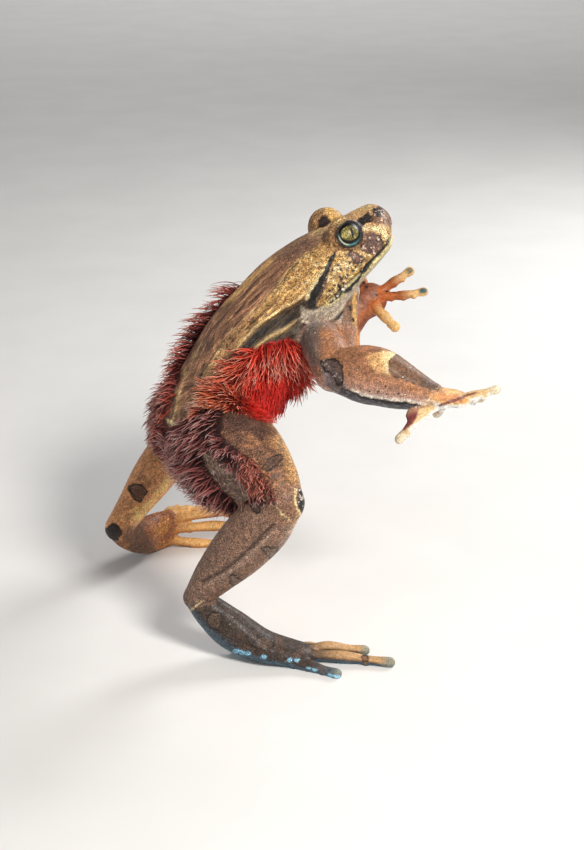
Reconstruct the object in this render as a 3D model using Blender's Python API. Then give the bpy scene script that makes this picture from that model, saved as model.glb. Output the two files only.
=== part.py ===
"""Hairy frog, a breeding male at life size, rearing on its hind legs.

The frog faces +X with its right side towards -Y, and stands on the plane z = 0. Lengths are written in
millimetres and built in metres. The origin is under the middle of the frog's bounding box, on the floor.
"""

import bisect
import math
import random

import bmesh
import bpy
from mathutils import Matrix, Vector
from mathutils.bvhtree import BVHTree

MM = 0.001
GAP = 0.3  # clearance that touching nodes keep


def point(x, y, z):
    return Vector((x, y, z))


# Driving sizes, in millimetres
SNOUT_VENT = 110.0
NECK = 40.0  # the head ends this far behind the snout
EYE_RADIUS = 5.5
EYE_BACK, EYE_OUT, EYE_UP = 15.4, 12.0, 11.0  # eye centre from the snout, the midline and the mouth line
LID_RADIUS = 6.7
LID_OPENING = (5.4, 4.7)  # half length and half height of the gap between the lids
LID_DEPTH, LID_SIDES = 0.74, 18  # where it is that wide, as a share of the lids' radius, and its sides
NOSTRIL_BACK, NOSTRIL_OUT, NOSTRIL_UP, NOSTRIL_RADIUS = 3.6, 4.6, 6.0, 0.75
MOUTH_GROOVE, MOUTH_CORNER = 0.9, 34.0
LEFT_LEAN = point(-0.225, 0.960, -0.080)  # the frog's left, as its body leans

# The spine: distance behind the snout, then the point on the mouth line's level
SPINE = [
    (0.0, point(33.4, 30.3, 131.2)),
    (36.0, point(5.3, 20.4, 111.2)),
    (60.0, point(-12.0, 12.8, 95.8)),
    (80.0, point(-25.7, 6.6, 82.6)),
    (SNOUT_VENT, point(-45.8, -2.9, 62.6)),
]
# Body sections: distance behind the snout, half width, rise above the spine, drop below it
BODY = [
    (0.0, 10.5, 9.4, 2.8),
    (5.0, 12.8, 11.4, 4.0),
    (12.0, 16.0, 12.8, 5.0),
    (20.0, 18.8, 14.6, 6.2),
    (30.0, 20.6, 16.4, 9.6),
    (40.0, 20.4, 17.4, 14.0),
    (50.0, 19.5, 17.2, 18.0),
    (64.0, 20.6, 16.4, 19.6),
    (78.0, 20.8, 13.2, 19.0),
    (90.0, 17.5, 10.2, 15.4),
    (100.0, 13.0, 8.2, 11.6),
    (SNOUT_VENT, 9.0, 6.0, 8.0),
]
NOSE_CAP, BROW_CAP, RUMP_CAP = 6.0, 4.0, 11.0  # lengths over which the ends round off
SNOUT_OVERHANG, OVERHANG_LENGTH = 5.0, 24.0  # how far the snout's top leans over the mouth, and its length
BODY_POWER = 2.35  # above 2, the sections are fuller than ellipses

# Limbs: joint centres and the half width and half height at each
RIGHT_THIGH = [
    (point(-32.0, -4.0, 75.5), 12.0, 13.0),
    (point(-23.0, -17.0, 72.8), 13.8, 15.0),
    (point(-14.4, -28.5, 69.4), 13.0, 14.2),
    (point(-7.4, -38.0, 65.2), 10.0, 11.0),
    (point(-3.3, -45.0, 61.4), 7.4, 7.6),
]
RIGHT_SHANK = [
    (point(-3.0, -45.4, 61.6), 6.9, 7.2),
    (point(-9.6, -43.2, 52.5), 8.6, 9.6),
    (point(-17.4, -40.6, 42.2), 8.4, 9.2),
    (point(-25.6, -37.6, 31.4), 6.4, 7.0),
    (point(-32.2, -35.0, 21.8), 4.3, 4.4),
]
RIGHT_FOOT = [
    (point(-32.0, -35.0, 21.4), 4.3, 4.3),
    (point(-26.6, -36.0, 16.0), 5.2, 6.0),
    (point(-19.2, -37.0, 9.8), 6.0, 7.0),
    (point(-9.5, -38.8, 5.3), 7.0, 5.0),
    (point(1.5, -40.4, 3.2), 6.6, 3.4),
]
LEFT_THIGH = [
    (point(-34.5, 8.0, 72.0), 11.5, 12.5),
    (point(-34.8, 22.0, 64.2), 12.6, 13.4),
    (point(-37.2, 35.0, 56.0), 11.8, 12.4),
    (point(-40.6, 47.0, 49.2), 9.0, 9.4),
    (point(-40.6, 55.0, 44.1), 7.2, 7.4),
]
LEFT_SHANK = [
    (point(-40.4, 55.6, 44.6), 6.9, 7.2),
    (point(-45.8, 48.4, 39.8), 8.4, 8.6),
    (point(-52.5, 38.4, 33.3), 8.0, 7.8),
    (point(-59.0, 28.0, 26.4), 6.1, 5.8),
    (point(-64.0, 20.0, 21.0), 4.8, 5.0),
]
LEFT_FOOT = [
    (point(-63.6, 20.6, 20.6), 4.8, 4.8),
    (point(-61.6, 27.0, 15.4), 5.0, 5.6),
    (point(-57.5, 35.5, 10.4), 5.2, 6.8),
    (point(-53.0, 43.0, 8.0), 4.4, 7.9),
    (point(-47.6, 47.6, 7.8), 3.2, 7.8),
]
RIGHT_UPPER_ARM = [
    (point(6.5, 10.0, 101.8), 6.6, 6.8),
    (point(9.4, 0.0, 100.4), 7.0, 7.2),
    (point(12.1, -10.2, 99.0), 6.8, 7.2),
    (point(13.8, -16.8, 95.4), 6.4, 6.6),
]
RIGHT_FOREARM = [
    (point(13.6, -16.6, 95.2), 6.2, 6.4),
    (point(20.6, -19.0, 96.0), 8.4, 9.2),
    (point(28.1, -21.0, 95.4), 8.8, 9.7),
    (point(36.4, -23.2, 92.8), 7.0, 7.8),
    (point(45.4, -25.2, 90.4), 4.2, 4.6),
]
LEFT_UPPER_ARM = [
    (point(0.0, 24.0, 104.0), 7.0, 7.0),
    (point(6.0, 30.0, 96.0), 7.0, 7.2),
    (point(12.4, 28.2, 87.8), 6.8, 7.0),
    (point(17.0, 24.8, 82.1), 6.2, 6.4),
]
LEFT_FOREARM = [
    (point(16.8, 25.0, 81.8), 6.2, 6.2),
    (point(17.6, 28.4, 85.4), 7.0, 7.0),
    (point(18.8, 32.0, 90.0), 7.2, 6.2),
    (point(20.6, 35.8, 95.2), 5.6, 4.8),
]
RIGHT_PALM = [
    (point(44.4, -25.2, 90.8), 3.9, 3.6),
    (point(48.6, -25.2, 89.8), 5.2, 3.2),
    (point(52.6, -25.0, 89.4), 5.4, 2.6),
]
LEFT_PALM = [
    (point(20.8, 35.4, 93.6), 5.2, 4.2),
    (point(24.6, 39.0, 99.2), 6.9, 3.4),
    (point(28.6, 40.6, 102.2), 6.6, 2.8),
]
# Digits: root inside the palm, a bend, the tip, and the half thickness at the root
RIGHT_TOES = [
    (point(-8.0, -35.8, 3.6), point(-3.0, -34.6, 2.4), point(3.5, -34.4, 1.7), 1.8),
    (point(-3.0, -36.4, 3.6), point(6.0, -34.8, 2.6), point(15.0, -35.6, 1.7), 2.0),
    (point(0.0, -38.4, 3.4), point(12.5, -36.0, 3.3), point(24.5, -35.9, 1.9), 2.2),
    (point(0.0, -40.8, 3.2), point(17.0, -41.4, 2.6), point(32.6, -43.6, 1.7), 2.3),
    (point(-3.5, -43.4, 2.8), point(6.0, -46.6, 2.2), point(14.6, -50.6, 1.6), 2.2),
]
LEFT_TOES = [
    (point(-51.0, 47.6, 12.0), point(-47.6, 51.4, 13.4), point(-44.6, 54.2, 13.2), 1.8),
    (point(-48.6, 48.4, 12.6), point(-41.6, 52.4, 13.4), point(-35.6, 55.4, 12.2), 2.0),
    (point(-47.6, 48.0, 11.0), point(-32.0, 50.8, 12.8), point(-18.5, 52.6, 12.4), 2.2),
    (point(-47.4, 47.6, 7.4), point(-30.6, 49.0, 8.0), point(-13.4, 50.0, 7.4), 2.3),
    (point(-48.6, 46.6, 3.4), point(-37.0, 46.2, 2.0), point(-24.6, 46.6, 1.6), 2.2),
]
RIGHT_FINGERS = [
    (point(49.6, -21.6, 88.6), point(50.0, -16.6, 84.2), point(48.6, -13.4, 79.6), 1.9),
    (point(52.4, -23.2, 88.8), point(57.2, -21.2, 88.0), point(62.0, -19.4, 87.2), 1.8),
    (point(52.6, -25.4, 89.4), point(59.4, -26.0, 90.8), point(66.0, -26.4, 93.0), 1.9),
    (point(47.6, -27.2, 88.2), point(41.2, -30.4, 83.8), point(36.0, -30.8, 77.6), 2.1),
]
LEFT_FINGERS = [
    (point(27.4, 41.4, 103.2), point(25.6, 46.0, 107.6), point(24.5, 50.0, 111.2), 2.0),
    (point(31.2, 41.4, 104.6), point(36.8, 42.8, 108.4), point(42.4, 43.8, 112.0), 2.0),
    (point(32.0, 40.2, 103.6), point(40.0, 38.8, 104.6), point(47.2, 38.0, 106.2), 1.9),
    (point(29.6, 38.2, 100.8), point(33.4, 34.6, 97.8), point(36.8, 31.9, 95.0), 2.2),
]
FLOOR_LEVEL = 0.5  # the feet are shaved flat here, and the frog is then set down on them

# Hair: skin papillae on the flanks and thighs, gathered into flat locks. Angles are in degrees.
LOCK_WIDTH, LOCK_THICKNESS, LOCK_SINK = 2.9, 1.1, 1.5
LOCK_STEPS = (0.0, 0.35, 0.72, 1.0)  # a lock's rings and its tip, as shares of its length
LOCK_TAPER = (1.0, 0.95, 0.6)  # its width at each ring
LOCK_DROOP = 0.75  # the share of its lift that a lock has lost at its tip
HAIR_SEED = 7
HAIR_CLEARANCE = 1.7  # from a lock's middle line to any other node
HAIR_HEIGHT = 2.0  # lowest point of a lock's middle line
HAIR_TRIES = ((0, 1.0), (18, 0.85), (32, 0.7), (42, 0.55))  # more lift and share of the length, until clear
FLANK_START = {-1: 50.0, 1: 55.5}  # first row behind the snout, on the right and the left
FLANK_END, FLANK_ROWS = 106.0, 14
FLANK_ANGLES, FLANK_COLUMNS = (38.0, -78.0), 8  # from above the flank's widest line down to the belly
FLANK_LENGTH, BELLY_LENGTH = 11.0, 8.6
FLANK_FADE = 0.4  # the share of its length that a flank's coat loses from its first row to its last
RIGHT_LIFT, LEFT_LIFT = 42.0, 68.0  # how steeply the flanks' locks leave the skin; the left ones stand out
THIGH_SHARES, THIGH_ROWS = (0.18, 0.88), 9  # between these shares of the thigh's length
THIGH_ANGLES, THIGH_COLUMNS = (52.0, -105.0), 8  # round the thigh's rear, from above to below
THIGH_LENGTH, THIGH_LIFT = 9.8, 45.0

# Colours of the plain finish
BACK = (0.36, 0.24, 0.14, 1.0)
FACE = (0.55, 0.40, 0.22, 1.0)
LIMB = (0.40, 0.27, 0.19, 1.0)
PALM = (0.72, 0.42, 0.20, 1.0)
IRIS = (0.35, 0.33, 0.12, 1.0)

BODY_SIDES, BODY_RINGS = 24, 21
SNOUT_AXIS = (SPINE[0][1] - SPINE[1][1]).normalized()


def cubic(table, x):
    """The values of a table of (x, value, ...) rows at x, on a smooth curve through the rows."""
    xs = [row[0] for row in table]
    i = max(0, min(len(table) - 2, bisect.bisect_right(xs, x) - 1))
    span = xs[i + 1] - xs[i]
    t = (x - xs[i]) / span

    def slope(j, k):
        low, high = max(j - 1, 0), min(j + 1, len(table) - 1)
        return (table[high][k] - table[low][k]) / (xs[high] - xs[low])

    values = []
    for k in range(1, len(table[0])):
        a, b = table[i][k], table[i + 1][k]
        values.append(
            a * (2 * t**3 - 3 * t**2 + 1)
            + slope(i, k) * (span * (t**3 - 2 * t**2 + t))
            + b * (3 * t**2 - 2 * t**3)
            + slope(i + 1, k) * (span * (t**3 - t**2))
        )
    return values


def spread(value, power):
    """A superellipse coordinate: keeps the sign and bends a sine or cosine towards a square."""
    return math.copysign(abs(value) ** (2.0 / power), value)


def cap(distance, length):
    """1 away from an end, falling to 0 at it like the end of an ellipse."""
    return 1.0 if distance >= length else math.sqrt(max(0.0, 1.0 - (1.0 - distance / length) ** 2))


def tube(rings, first, last):
    """A closed mesh in metres through rings of points, with a pole point at each end."""
    mesh = bmesh.new()
    loops = [[mesh.verts.new(p * MM) for p in ring] for ring in rings]
    count = len(loops[0])
    for near, far in zip(loops, loops[1:]):
        for k in range(count):
            mesh.faces.new((near[k], near[(k + 1) % count], far[(k + 1) % count], far[k]))
    for loop, pole in ((loops[0], first), (loops[-1], last)):
        end = mesh.verts.new(pole * MM)
        for k in range(count):
            mesh.faces.new((loop[k], loop[(k + 1) % count], end))
    bmesh.ops.recalc_face_normals(mesh, faces=mesh.faces)
    return mesh


def as_object(name, mesh):
    data = bpy.data.meshes.new(name)
    bmesh.ops.triangulate(mesh, faces=mesh.faces)
    mesh.to_mesh(data)
    mesh.free()
    made = bpy.data.objects.new(name, data)
    bpy.context.scene.collection.objects.link(made)
    return made


def body_frame(distance):
    """The spine's point, the frog's left and its dorsal direction at a distance behind the snout."""
    centre = cubic(SPINE, distance)[0]
    ahead = (cubic(SPINE, max(distance - 1.0, 0.0))[0] - cubic(SPINE, distance + 1.0)[0]).normalized()
    left = (LEFT_LEAN - ahead * LEFT_LEAN.dot(ahead)).normalized()
    return centre, left, ahead.cross(left)


def body_size(distance):
    """Half width, rise and drop of the body section, closed off at the snout and the rump."""
    rump, nose, brow = cap(SNOUT_VENT - distance, RUMP_CAP), cap(distance, NOSE_CAP), cap(distance, BROW_CAP)
    width, rise, drop = cubic(BODY, distance)
    return [width * nose * rump, rise * brow * rump, drop * nose * rump]


def body_point(distance, angle, grow=0.0):
    """A point on the skin: angle 0 is the frog's left at the mouth line, and 90 degrees is the back."""
    centre, left, up = body_frame(distance)
    width, rise, drop = (size + grow for size in body_size(distance))
    across, along = spread(math.cos(angle), BODY_POWER), spread(math.sin(angle), BODY_POWER)
    overhang = SNOUT_OVERHANG * max(0.0, along) * max(0.0, 1.0 - distance / OVERHANG_LENGTH) ** 2
    height = (rise if along > 0 else drop) * along
    return centre + left * (width * across) + up * height + SNOUT_AXIS * overhang


def body_angles():
    """Angles round a body section, with one on each mouth line and a close pair for the lips."""
    lip = math.radians(5.0)
    half = [lip + (math.pi - 2 * lip) * k / (BODY_SIDES // 2 - 2) for k in range(BODY_SIDES // 2 - 1)]
    return [0.0, *half, math.pi, *(a + math.pi for a in half)]


def body_loft(name, grow=0.0):
    """The frog from snout to rump, with the mouth as a groove that runs round the snout."""
    rings = []
    for i in range(BODY_RINGS):
        distance = SNOUT_VENT * (0.5 - 0.5 * math.cos(math.pi * (i + 0.55) / BODY_RINGS)) ** 0.92
        centre = body_frame(distance)[0]
        ring = []
        for angle in body_angles():
            place = body_point(distance, angle, grow)
            if abs(math.sin(angle)) < 1e-6 and distance < MOUTH_CORNER:
                place += (centre - place).normalized() * MOUTH_GROOVE * cap(distance, NOSE_CAP)
            ring.append(place)
        rings.append(ring)
    nose = body_frame(0.0)[0] + SNOUT_AXIS * grow
    rump = body_frame(SNOUT_VENT)[0] - SNOUT_AXIS * grow
    return as_object(name, tube(rings, nose, rump))


def limb_table(joints):
    """Rows of distance, centre, half width and half height along a limb."""
    rows, run = [], 0.0
    for i, (centre, width, height) in enumerate(joints):
        if i:
            run += (centre - joints[i - 1][0]).length
        rows.append((run, centre, width, height))
    return rows


def limb_loft(name, joints, up_hint, sides, count, grow=0.0, first_cap=None, last_cap=None):
    """A limb through its joints; the first size is across up_hint, and the second is along it."""
    rows = limb_table(joints)
    length = rows[-1][0]
    first_cap = first_cap or rows[0][2]
    last_cap = last_cap or rows[-1][2]
    total = length + first_cap + last_cap
    start_way = (rows[1][1] - rows[0][1]).normalized()
    end_way = (rows[-1][1] - rows[-2][1]).normalized()
    rings = []
    for i in range(count):
        along = total * (0.5 - 0.5 * math.cos(math.pi * (i + 0.6) / (count + 0.2))) - first_cap
        inner = min(max(along, 0.0), length)
        centre, width, height = cubic(rows, inner)
        if along < 0:
            centre, way = centre + start_way * along, start_way
        elif along > length:
            centre, way = centre + end_way * (along - length), end_way
        else:
            low, high = max(inner - 0.5, 0.0), min(inner + 0.5, length)
            way = (cubic(rows, high)[0] - cubic(rows, low)[0]).normalized()
        end = cap(along + first_cap, first_cap) * cap(total - first_cap - along, last_cap)
        side = up_hint.cross(way).normalized()
        up = way.cross(side)
        wide, high = width * end + grow, height * end + grow
        turn = [2 * math.pi * k / sides for k in range(sides)]
        rings.append([centre + side * wide * math.cos(a) + up * high * math.sin(a) for a in turn])
    first = rows[0][1] - start_way * (first_cap + grow)
    last = rows[-1][1] + end_way * (last_cap + grow)
    return as_object(name, tube(rings, first, last))


def digit_loft(name, digit, up_hint):
    """A finger or toe: swollen a little at its joints and rounded into a pad at the tip."""
    root, bend, tip, thick = digit
    rows = [
        (root, thick * 1.05, thick),
        (root.lerp(bend, 0.55), thick * 0.80, thick * 0.78),
        (bend, thick * 0.90, thick * 0.92),
        (bend.lerp(tip, 0.55), thick * 0.68, thick * 0.66),
        (tip, thick * 0.88, thick * 0.78),
    ]
    return limb_loft(name, rows, up_hint, 6, 8)


def ball(name, centre, radius, segments=16, rings=10):
    mesh = bmesh.new()
    bmesh.ops.create_uvsphere(mesh, u_segments=segments, v_segments=rings, radius=radius * MM)
    bmesh.ops.translate(mesh, verts=mesh.verts, vec=centre * MM)
    return as_object(name, mesh)


def boolean(host, operation, others, solver="EXACT"):
    """Joins or cuts host by a list of closed objects, applies it and removes them."""
    group = bpy.data.collections.new("operands")
    for other in others:
        group.objects.link(other)
    change = host.modifiers.new("change", "BOOLEAN")
    change.operation, change.solver = operation, solver
    change.operand_type, change.collection = "COLLECTION", group
    bpy.context.view_layer.update()
    result = bpy.data.meshes.new_from_object(host.evaluated_get(bpy.context.evaluated_depsgraph_get()))
    host.modifiers.clear()
    host.data = result
    for other in others:
        bpy.data.objects.remove(other)
    bpy.data.collections.remove(group)
    keep_largest(host)
    return host


def keep_largest(host):
    """Leaves only the largest closed surface of a mesh."""
    mesh = bmesh.new()
    mesh.from_mesh(host.data)
    bmesh.ops.remove_doubles(mesh, verts=mesh.verts, dist=1e-6)
    bmesh.ops.dissolve_degenerate(mesh, edges=mesh.edges, dist=1e-6)
    left, islands = set(mesh.verts), []
    while left:
        stack, island = [left.pop()], set()
        while stack:
            vert = stack.pop()
            island.add(vert)
            for edge in vert.link_edges:
                other = edge.other_vert(vert)
                if other in left:
                    left.discard(other)
                    stack.append(other)
        islands.append(island)
    islands.sort(key=len)
    for island in islands[:-1]:
        bmesh.ops.delete(mesh, geom=list(island), context="VERTS")
    bmesh.ops.triangulate(mesh, faces=mesh.faces)
    mesh.to_mesh(host.data)
    mesh.free()


def trimmed(host, place, outward):
    """Cuts host off flat at a plane through place, and drops what lies on the outward side."""
    mesh = bmesh.new()
    mesh.from_mesh(host.data)
    everything = mesh.verts[:] + mesh.edges[:] + mesh.faces[:]
    cut = bmesh.ops.bisect_plane(
        mesh, geom=everything, plane_co=place * MM, plane_no=outward, clear_outer=True, dist=1e-7
    )
    rim = [item for item in cut["geom_cut"] if isinstance(item, bmesh.types.BMEdge)]
    bmesh.ops.contextual_create(mesh, geom=rim)
    bmesh.ops.recalc_face_normals(mesh, faces=mesh.faces)
    bmesh.ops.triangulate(mesh, faces=mesh.faces)
    mesh.to_mesh(host.data)
    mesh.free()
    return host


def finish(name, made, colour, roughness=0.5):
    """Names a node, gives it its plain material and shades it smooth."""
    material = bpy.data.materials.new(name)
    material.use_nodes = True
    shader = material.node_tree.nodes["Principled BSDF"]
    shader.inputs["Base Color"].default_value = colour
    shader.inputs["Roughness"].default_value = roughness
    shader.inputs["Metallic"].default_value = 0.0
    made.name = name
    made.data.materials.clear()
    made.data.materials.append(material)
    made.data.shade_smooth()
    made.data.set_sharp_from_angle(angle=math.radians(40))
    for collection in list(made.users_collection):
        collection.objects.unlink(made)
    bpy.data.collections["hairy_frog"].objects.link(made)
    return made


def eye_frame(side):
    """The eye's centre, the way it looks and the head's own dorsal direction; side is 1 on the left."""
    centre, left, up = body_frame(EYE_BACK)
    look = (left * side + SNOUT_AXIS * 0.22 + up * 0.30).normalized()
    return centre + left * (EYE_OUT * side) + up * EYE_UP, look, up


def lid_cutter(side):
    """A cone from the eye's centre that opens the lids."""
    centre, look, up = eye_frame(side)
    across = up.cross(look).normalized()
    above = look.cross(across)
    reach = LID_RADIUS * 2.0
    turn = [2 * math.pi * k / LID_SIDES for k in range(LID_SIDES)]
    rings = []
    for along in (1.0, reach):
        share = along / (LID_RADIUS * LID_DEPTH)
        wide, high = across * (LID_OPENING[0] * share), above * (LID_OPENING[1] * share)
        rings.append([centre + look * along + wide * math.cos(a) + high * math.sin(a) for a in turn])
    return as_object("lid_cutter", tube(rings, centre + look * 0.5, centre + look * (reach + 1.0)))


def make_head_and_torso():
    """One body, cut at the neck, with eye mounds, lids and nostrils on the head."""
    torso = trimmed(body_loft("torso"), body_frame(NECK + GAP / 2)[0], SNOUT_AXIS)
    head = trimmed(body_loft("head"), body_frame(NECK - GAP / 2)[0], -SNOUT_AXIS)
    mounds, cutters, eyes = [], [], []
    for side, name in ((-1, "right"), (1, "left")):
        centre, look, up = eye_frame(side)
        mounds.append(ball("mound", centre - look * 0.2, LID_RADIUS))
        cutters.append(ball("socket", centre, EYE_RADIUS + GAP))
        cutters.append(lid_cutter(side))
        nose, left, rise = body_frame(NOSTRIL_BACK)
        nostril = nose + left * (NOSTRIL_OUT * side) + rise * NOSTRIL_UP
        cutters.append(ball("nostril", nostril, NOSTRIL_RADIUS, 8, 6))
        eyes.append((f"eye_{name}", ball("eye", centre, EYE_RADIUS)))
    boolean(head, "UNION", mounds)
    boolean(head, "DIFFERENCE", cutters)
    return torso, head, eyes


def grown(plan, up_hint, sides, count):
    return limb_loft("cutter", plan, up_hint, sides, count, grow=GAP)


def with_digits(palm, digits, up_hint):
    return boolean(palm, "UNION", [digit_loft("digit", digit, up_hint) for digit in digits])


def make_limbs():
    """Every limb part, each cut 0.3 mm clear of what it grows from."""
    up, fore = point(0, 0, 1), point(1, 0, 0)
    limbs = {
        "right": (
            (("thigh", RIGHT_THIGH, up, 16, 10), ("shank", RIGHT_SHANK, fore, 14, 9)),
            ("foot", RIGHT_FOOT, up, RIGHT_TOES, up),
            (("upper_arm", RIGHT_UPPER_ARM, fore, 14, 7), ("forearm", RIGHT_FOREARM, up, 14, 9)),
            ("hand", RIGHT_PALM, up, RIGHT_FINGERS, up),
        ),
        "left": (
            (("thigh", LEFT_THIGH, up, 16, 10), ("shank", LEFT_SHANK, up, 14, 9)),
            ("foot", LEFT_FOOT, up, LEFT_TOES, up),
            (("upper_arm", LEFT_UPPER_ARM, up, 14, 7), ("forearm", LEFT_FOREARM, point(1, -1, 0), 14, 8)),
            ("hand", LEFT_PALM, point(0, -1, 0.3), LEFT_FINGERS, point(0, -1, 0)),
        ),
    }
    nodes = []
    for side, (leg, foot, arm, hand) in limbs.items():
        for chain, end in ((leg, foot), (arm, hand)):
            upper, lower = chain
            first = limb_loft(upper[0], *upper[1:])
            boolean(first, "DIFFERENCE", [body_loft("cutter", GAP)])
            second = limb_loft(lower[0], *lower[1:])
            boolean(second, "DIFFERENCE", [grown(*upper[1:])])
            part, palm, palm_up, digits, digit_up = end
            last = limb_loft(part, palm, palm_up, 14, 8)
            with_digits(last, digits, digit_up)
            boolean(last, "DIFFERENCE", [grown(*lower[1:])])
            if part == "foot":
                trimmed(last, point(0, 0, FLOOR_LEVEL), point(0, 0, -1))
            nodes += [(f"{upper[0]}_{side}", first), (f"{lower[0]}_{side}", second), (f"{part}_{side}", last)]
    return nodes


def thigh_point(joints, share, angle, outward=1):
    """A point on a thigh: angle 0 is its rear, and 90 degrees is its top."""
    rows = limb_table(joints)
    along = rows[-1][0] * share
    centre, width, height = cubic(rows, along)
    way = (cubic(rows, along + 0.5)[0] - centre).normalized()
    up_hint = point(0, 0, 1)
    rear = up_hint.cross(way).normalized() * outward
    up = (way.cross(rear) * outward).normalized()
    return centre + rear * width * math.cos(angle) + up * height * math.sin(angle)


def normal_at(surface, row, angle, inside):
    """The outward normal of surface(row, angle) by small steps, given a point inside."""
    step = 0.02
    here = surface(row, angle)
    across = surface(row, angle + step) - here
    along = surface(row + step, angle) - here
    normal = across.cross(along).normalized()
    return normal if normal.dot(here - inside) > 0 else -normal


def lock_spine(root, normal, lie, length, lift):
    """Points along a lock: out of the skin at an angle, then bending over along the coat's lie."""
    lie = (lie - normal * lie.dot(normal)).normalized()
    places = [root - normal * LOCK_SINK]
    here = root.copy()
    steps = len(LOCK_STEPS) - 1
    for k in range(steps):
        share = LOCK_STEPS[k + 1] - LOCK_STEPS[k]
        angle = lift * (1.0 - LOCK_DROOP * k / steps)
        here = here + (lie * math.cos(angle) + normal * math.sin(angle)) * (length * share)
        places.append(here)
    return places, lie.cross(normal).normalized(), normal


def lock_loft(places, across, normal):
    """A flat three-sided lock that tapers to a point."""
    rings = []
    for taper, place in zip(LOCK_TAPER, places):
        wide, thick = across * (LOCK_WIDTH * taper / 2), normal * (LOCK_THICKNESS * taper / 2)
        rings.append([place - wide - thick, place + wide - thick, place + thick])
    root = sum(rings[0], point(0, 0, 0)) / len(rings[0])
    return as_object("lock", tube(rings, root, places[-1]))


def tree_of(made):
    mesh = bmesh.new()
    mesh.from_mesh(made.data)
    tree = BVHTree.FromBMesh(mesh)
    mesh.free()
    return tree


def is_clear(places, trees):
    """Whether a lock's middle line keeps its clearance from the other nodes and the floor."""
    for first, second in zip(places, places[1:]):
        for share in (0.0, 0.25, 0.5, 0.75, 1.0):
            spot = first.lerp(second, share)
            if spot.z < HAIR_HEIGHT:
                return False
            if any(tree.find_nearest(spot * MM, HAIR_CLEARANCE * MM)[0] for tree in trees):
                return False
    return True


def clear_lock(root, normal, lie, length, lift, trees):
    """A list with the first lock that clears the other nodes, tried ever steeper and shorter, or none."""
    for extra, share in HAIR_TRIES:
        places, across, outward = lock_spine(root, normal, lie, length * share, math.radians(lift + extra))
        if is_clear(places, trees):
            return [lock_loft(places, across, outward)]
    return []


def flank_locks(side, trees, draw):
    """Locks on one flank: long ones from the flank's upper line, shorter ones down the belly."""
    locks = []
    first = FLANK_START[side]
    high, low = FLANK_ANGLES

    def surface(distance, angle):
        return body_point(distance, angle if side > 0 else math.pi - angle)

    for i in range(FLANK_ROWS):
        for j in range(FLANK_COLUMNS):
            down = (j + 0.5 * (i % 2)) / FLANK_COLUMNS
            distance = first + (FLANK_END - first) * (i + draw.uniform(0.25, 0.75)) / FLANK_ROWS
            angle = math.radians(high + (low - high) * down + draw.uniform(-4, 4))
            centre, left, up = body_frame(distance)
            ahead = left.cross(up)
            root = surface(distance, angle)
            normal = normal_at(surface, distance, angle, centre)
            lie = -ahead * (0.9 - 0.4 * down) + up * (-0.55 if side < 0 else 0.45) + left * side * 0.2
            length = FLANK_LENGTH + (BELLY_LENGTH - FLANK_LENGTH) * down
            length *= draw.uniform(0.85, 1.15) * (1.0 - FLANK_FADE * (distance - first) / (FLANK_END - first))
            locks += clear_lock(root, normal, lie, length, LEFT_LIFT if side > 0 else RIGHT_LIFT, trees)
    return locks


def thigh_locks(joints, side, trees, draw):
    """Locks on the rear and outer face of one thigh."""
    locks = []
    first, last = THIGH_SHARES
    high, low = THIGH_ANGLES
    table = limb_table(joints)

    def surface(share, angle):
        return thigh_point(joints, share, angle, side)

    for i in range(THIGH_ROWS):
        for j in range(THIGH_COLUMNS):
            share = first + (last - first) * (i + draw.uniform(0.2, 0.8)) / THIGH_ROWS
            down = (j + 0.5 * (i % 2)) / THIGH_COLUMNS
            angle = math.radians(high + (low - high) * down + draw.uniform(-5, 5))
            root = surface(share, angle)
            normal = normal_at(surface, share, angle, cubic(table, table[-1][0] * share)[0])
            lie = point(-0.85 + 0.3 * down, 0.12 * side, -0.4 - 0.5 * down)
            length = THIGH_LENGTH * draw.uniform(0.8, 1.15)
            locks += clear_lock(root, normal, lie, length, THIGH_LIFT, trees)
    return locks


def add_hair(nodes):
    """Fuses the locks of the flanks to the torso and those of the thighs to the thighs."""
    draw = random.Random(HAIR_SEED)
    torso = nodes["torso"]
    trees = [tree_of(made) for name, made in nodes.items() if name != "torso"]
    locks = flank_locks(-1, trees, draw) + flank_locks(1, trees, draw)
    boolean(torso, "UNION", locks, "MANIFOLD")
    for side, name, joints in ((-1, "thigh_right", RIGHT_THIGH), (1, "thigh_left", LEFT_THIGH)):
        trees = [tree_of(made) for other, made in nodes.items() if other != name]
        boolean(nodes[name], "UNION", thigh_locks(joints, side, trees, draw), "MANIFOLD")


def centre(nodes):
    """Moves everything so that the origin lies under the middle of the whole frog."""
    places = [vertex.co for made in nodes.values() for vertex in made.data.vertices]
    low, high = ([pick(place[k] for place in places) for k in range(3)] for pick in (min, max))
    shift = Vector((-(low[0] + high[0]) / 2, -(low[1] + high[1]) / 2, -low[2]))
    for made in nodes.values():
        made.data.transform(Matrix.Translation(shift))


def main():
    for old in list(bpy.data.objects):
        bpy.data.objects.remove(old)
    bpy.context.scene.collection.children.link(bpy.data.collections.new("hairy_frog"))
    torso, head, eyes = make_head_and_torso()
    nodes = {"torso": torso, "head": head}
    nodes.update(eyes)
    nodes.update(make_limbs())
    add_hair(nodes)
    centre(nodes)
    colours = {"torso": BACK, "head": FACE, "eye": IRIS, "hand": PALM, "foot": PALM}
    for name, made in nodes.items():
        finish(name, made, colours.get(name.split("_")[0], LIMB), 0.15 if name.startswith("eye") else 0.5)


main()
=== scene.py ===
"""Looks of the hairy frog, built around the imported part.

Everything is made in the source's own millimetres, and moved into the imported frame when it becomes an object.
Marks on the skin are placed by pixels (x, y) of the 584 x 850 photograph, which the camera here repeats.
"""

import math

import bmesh
import bpy
import numpy as np
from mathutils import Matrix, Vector, kdtree


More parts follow.
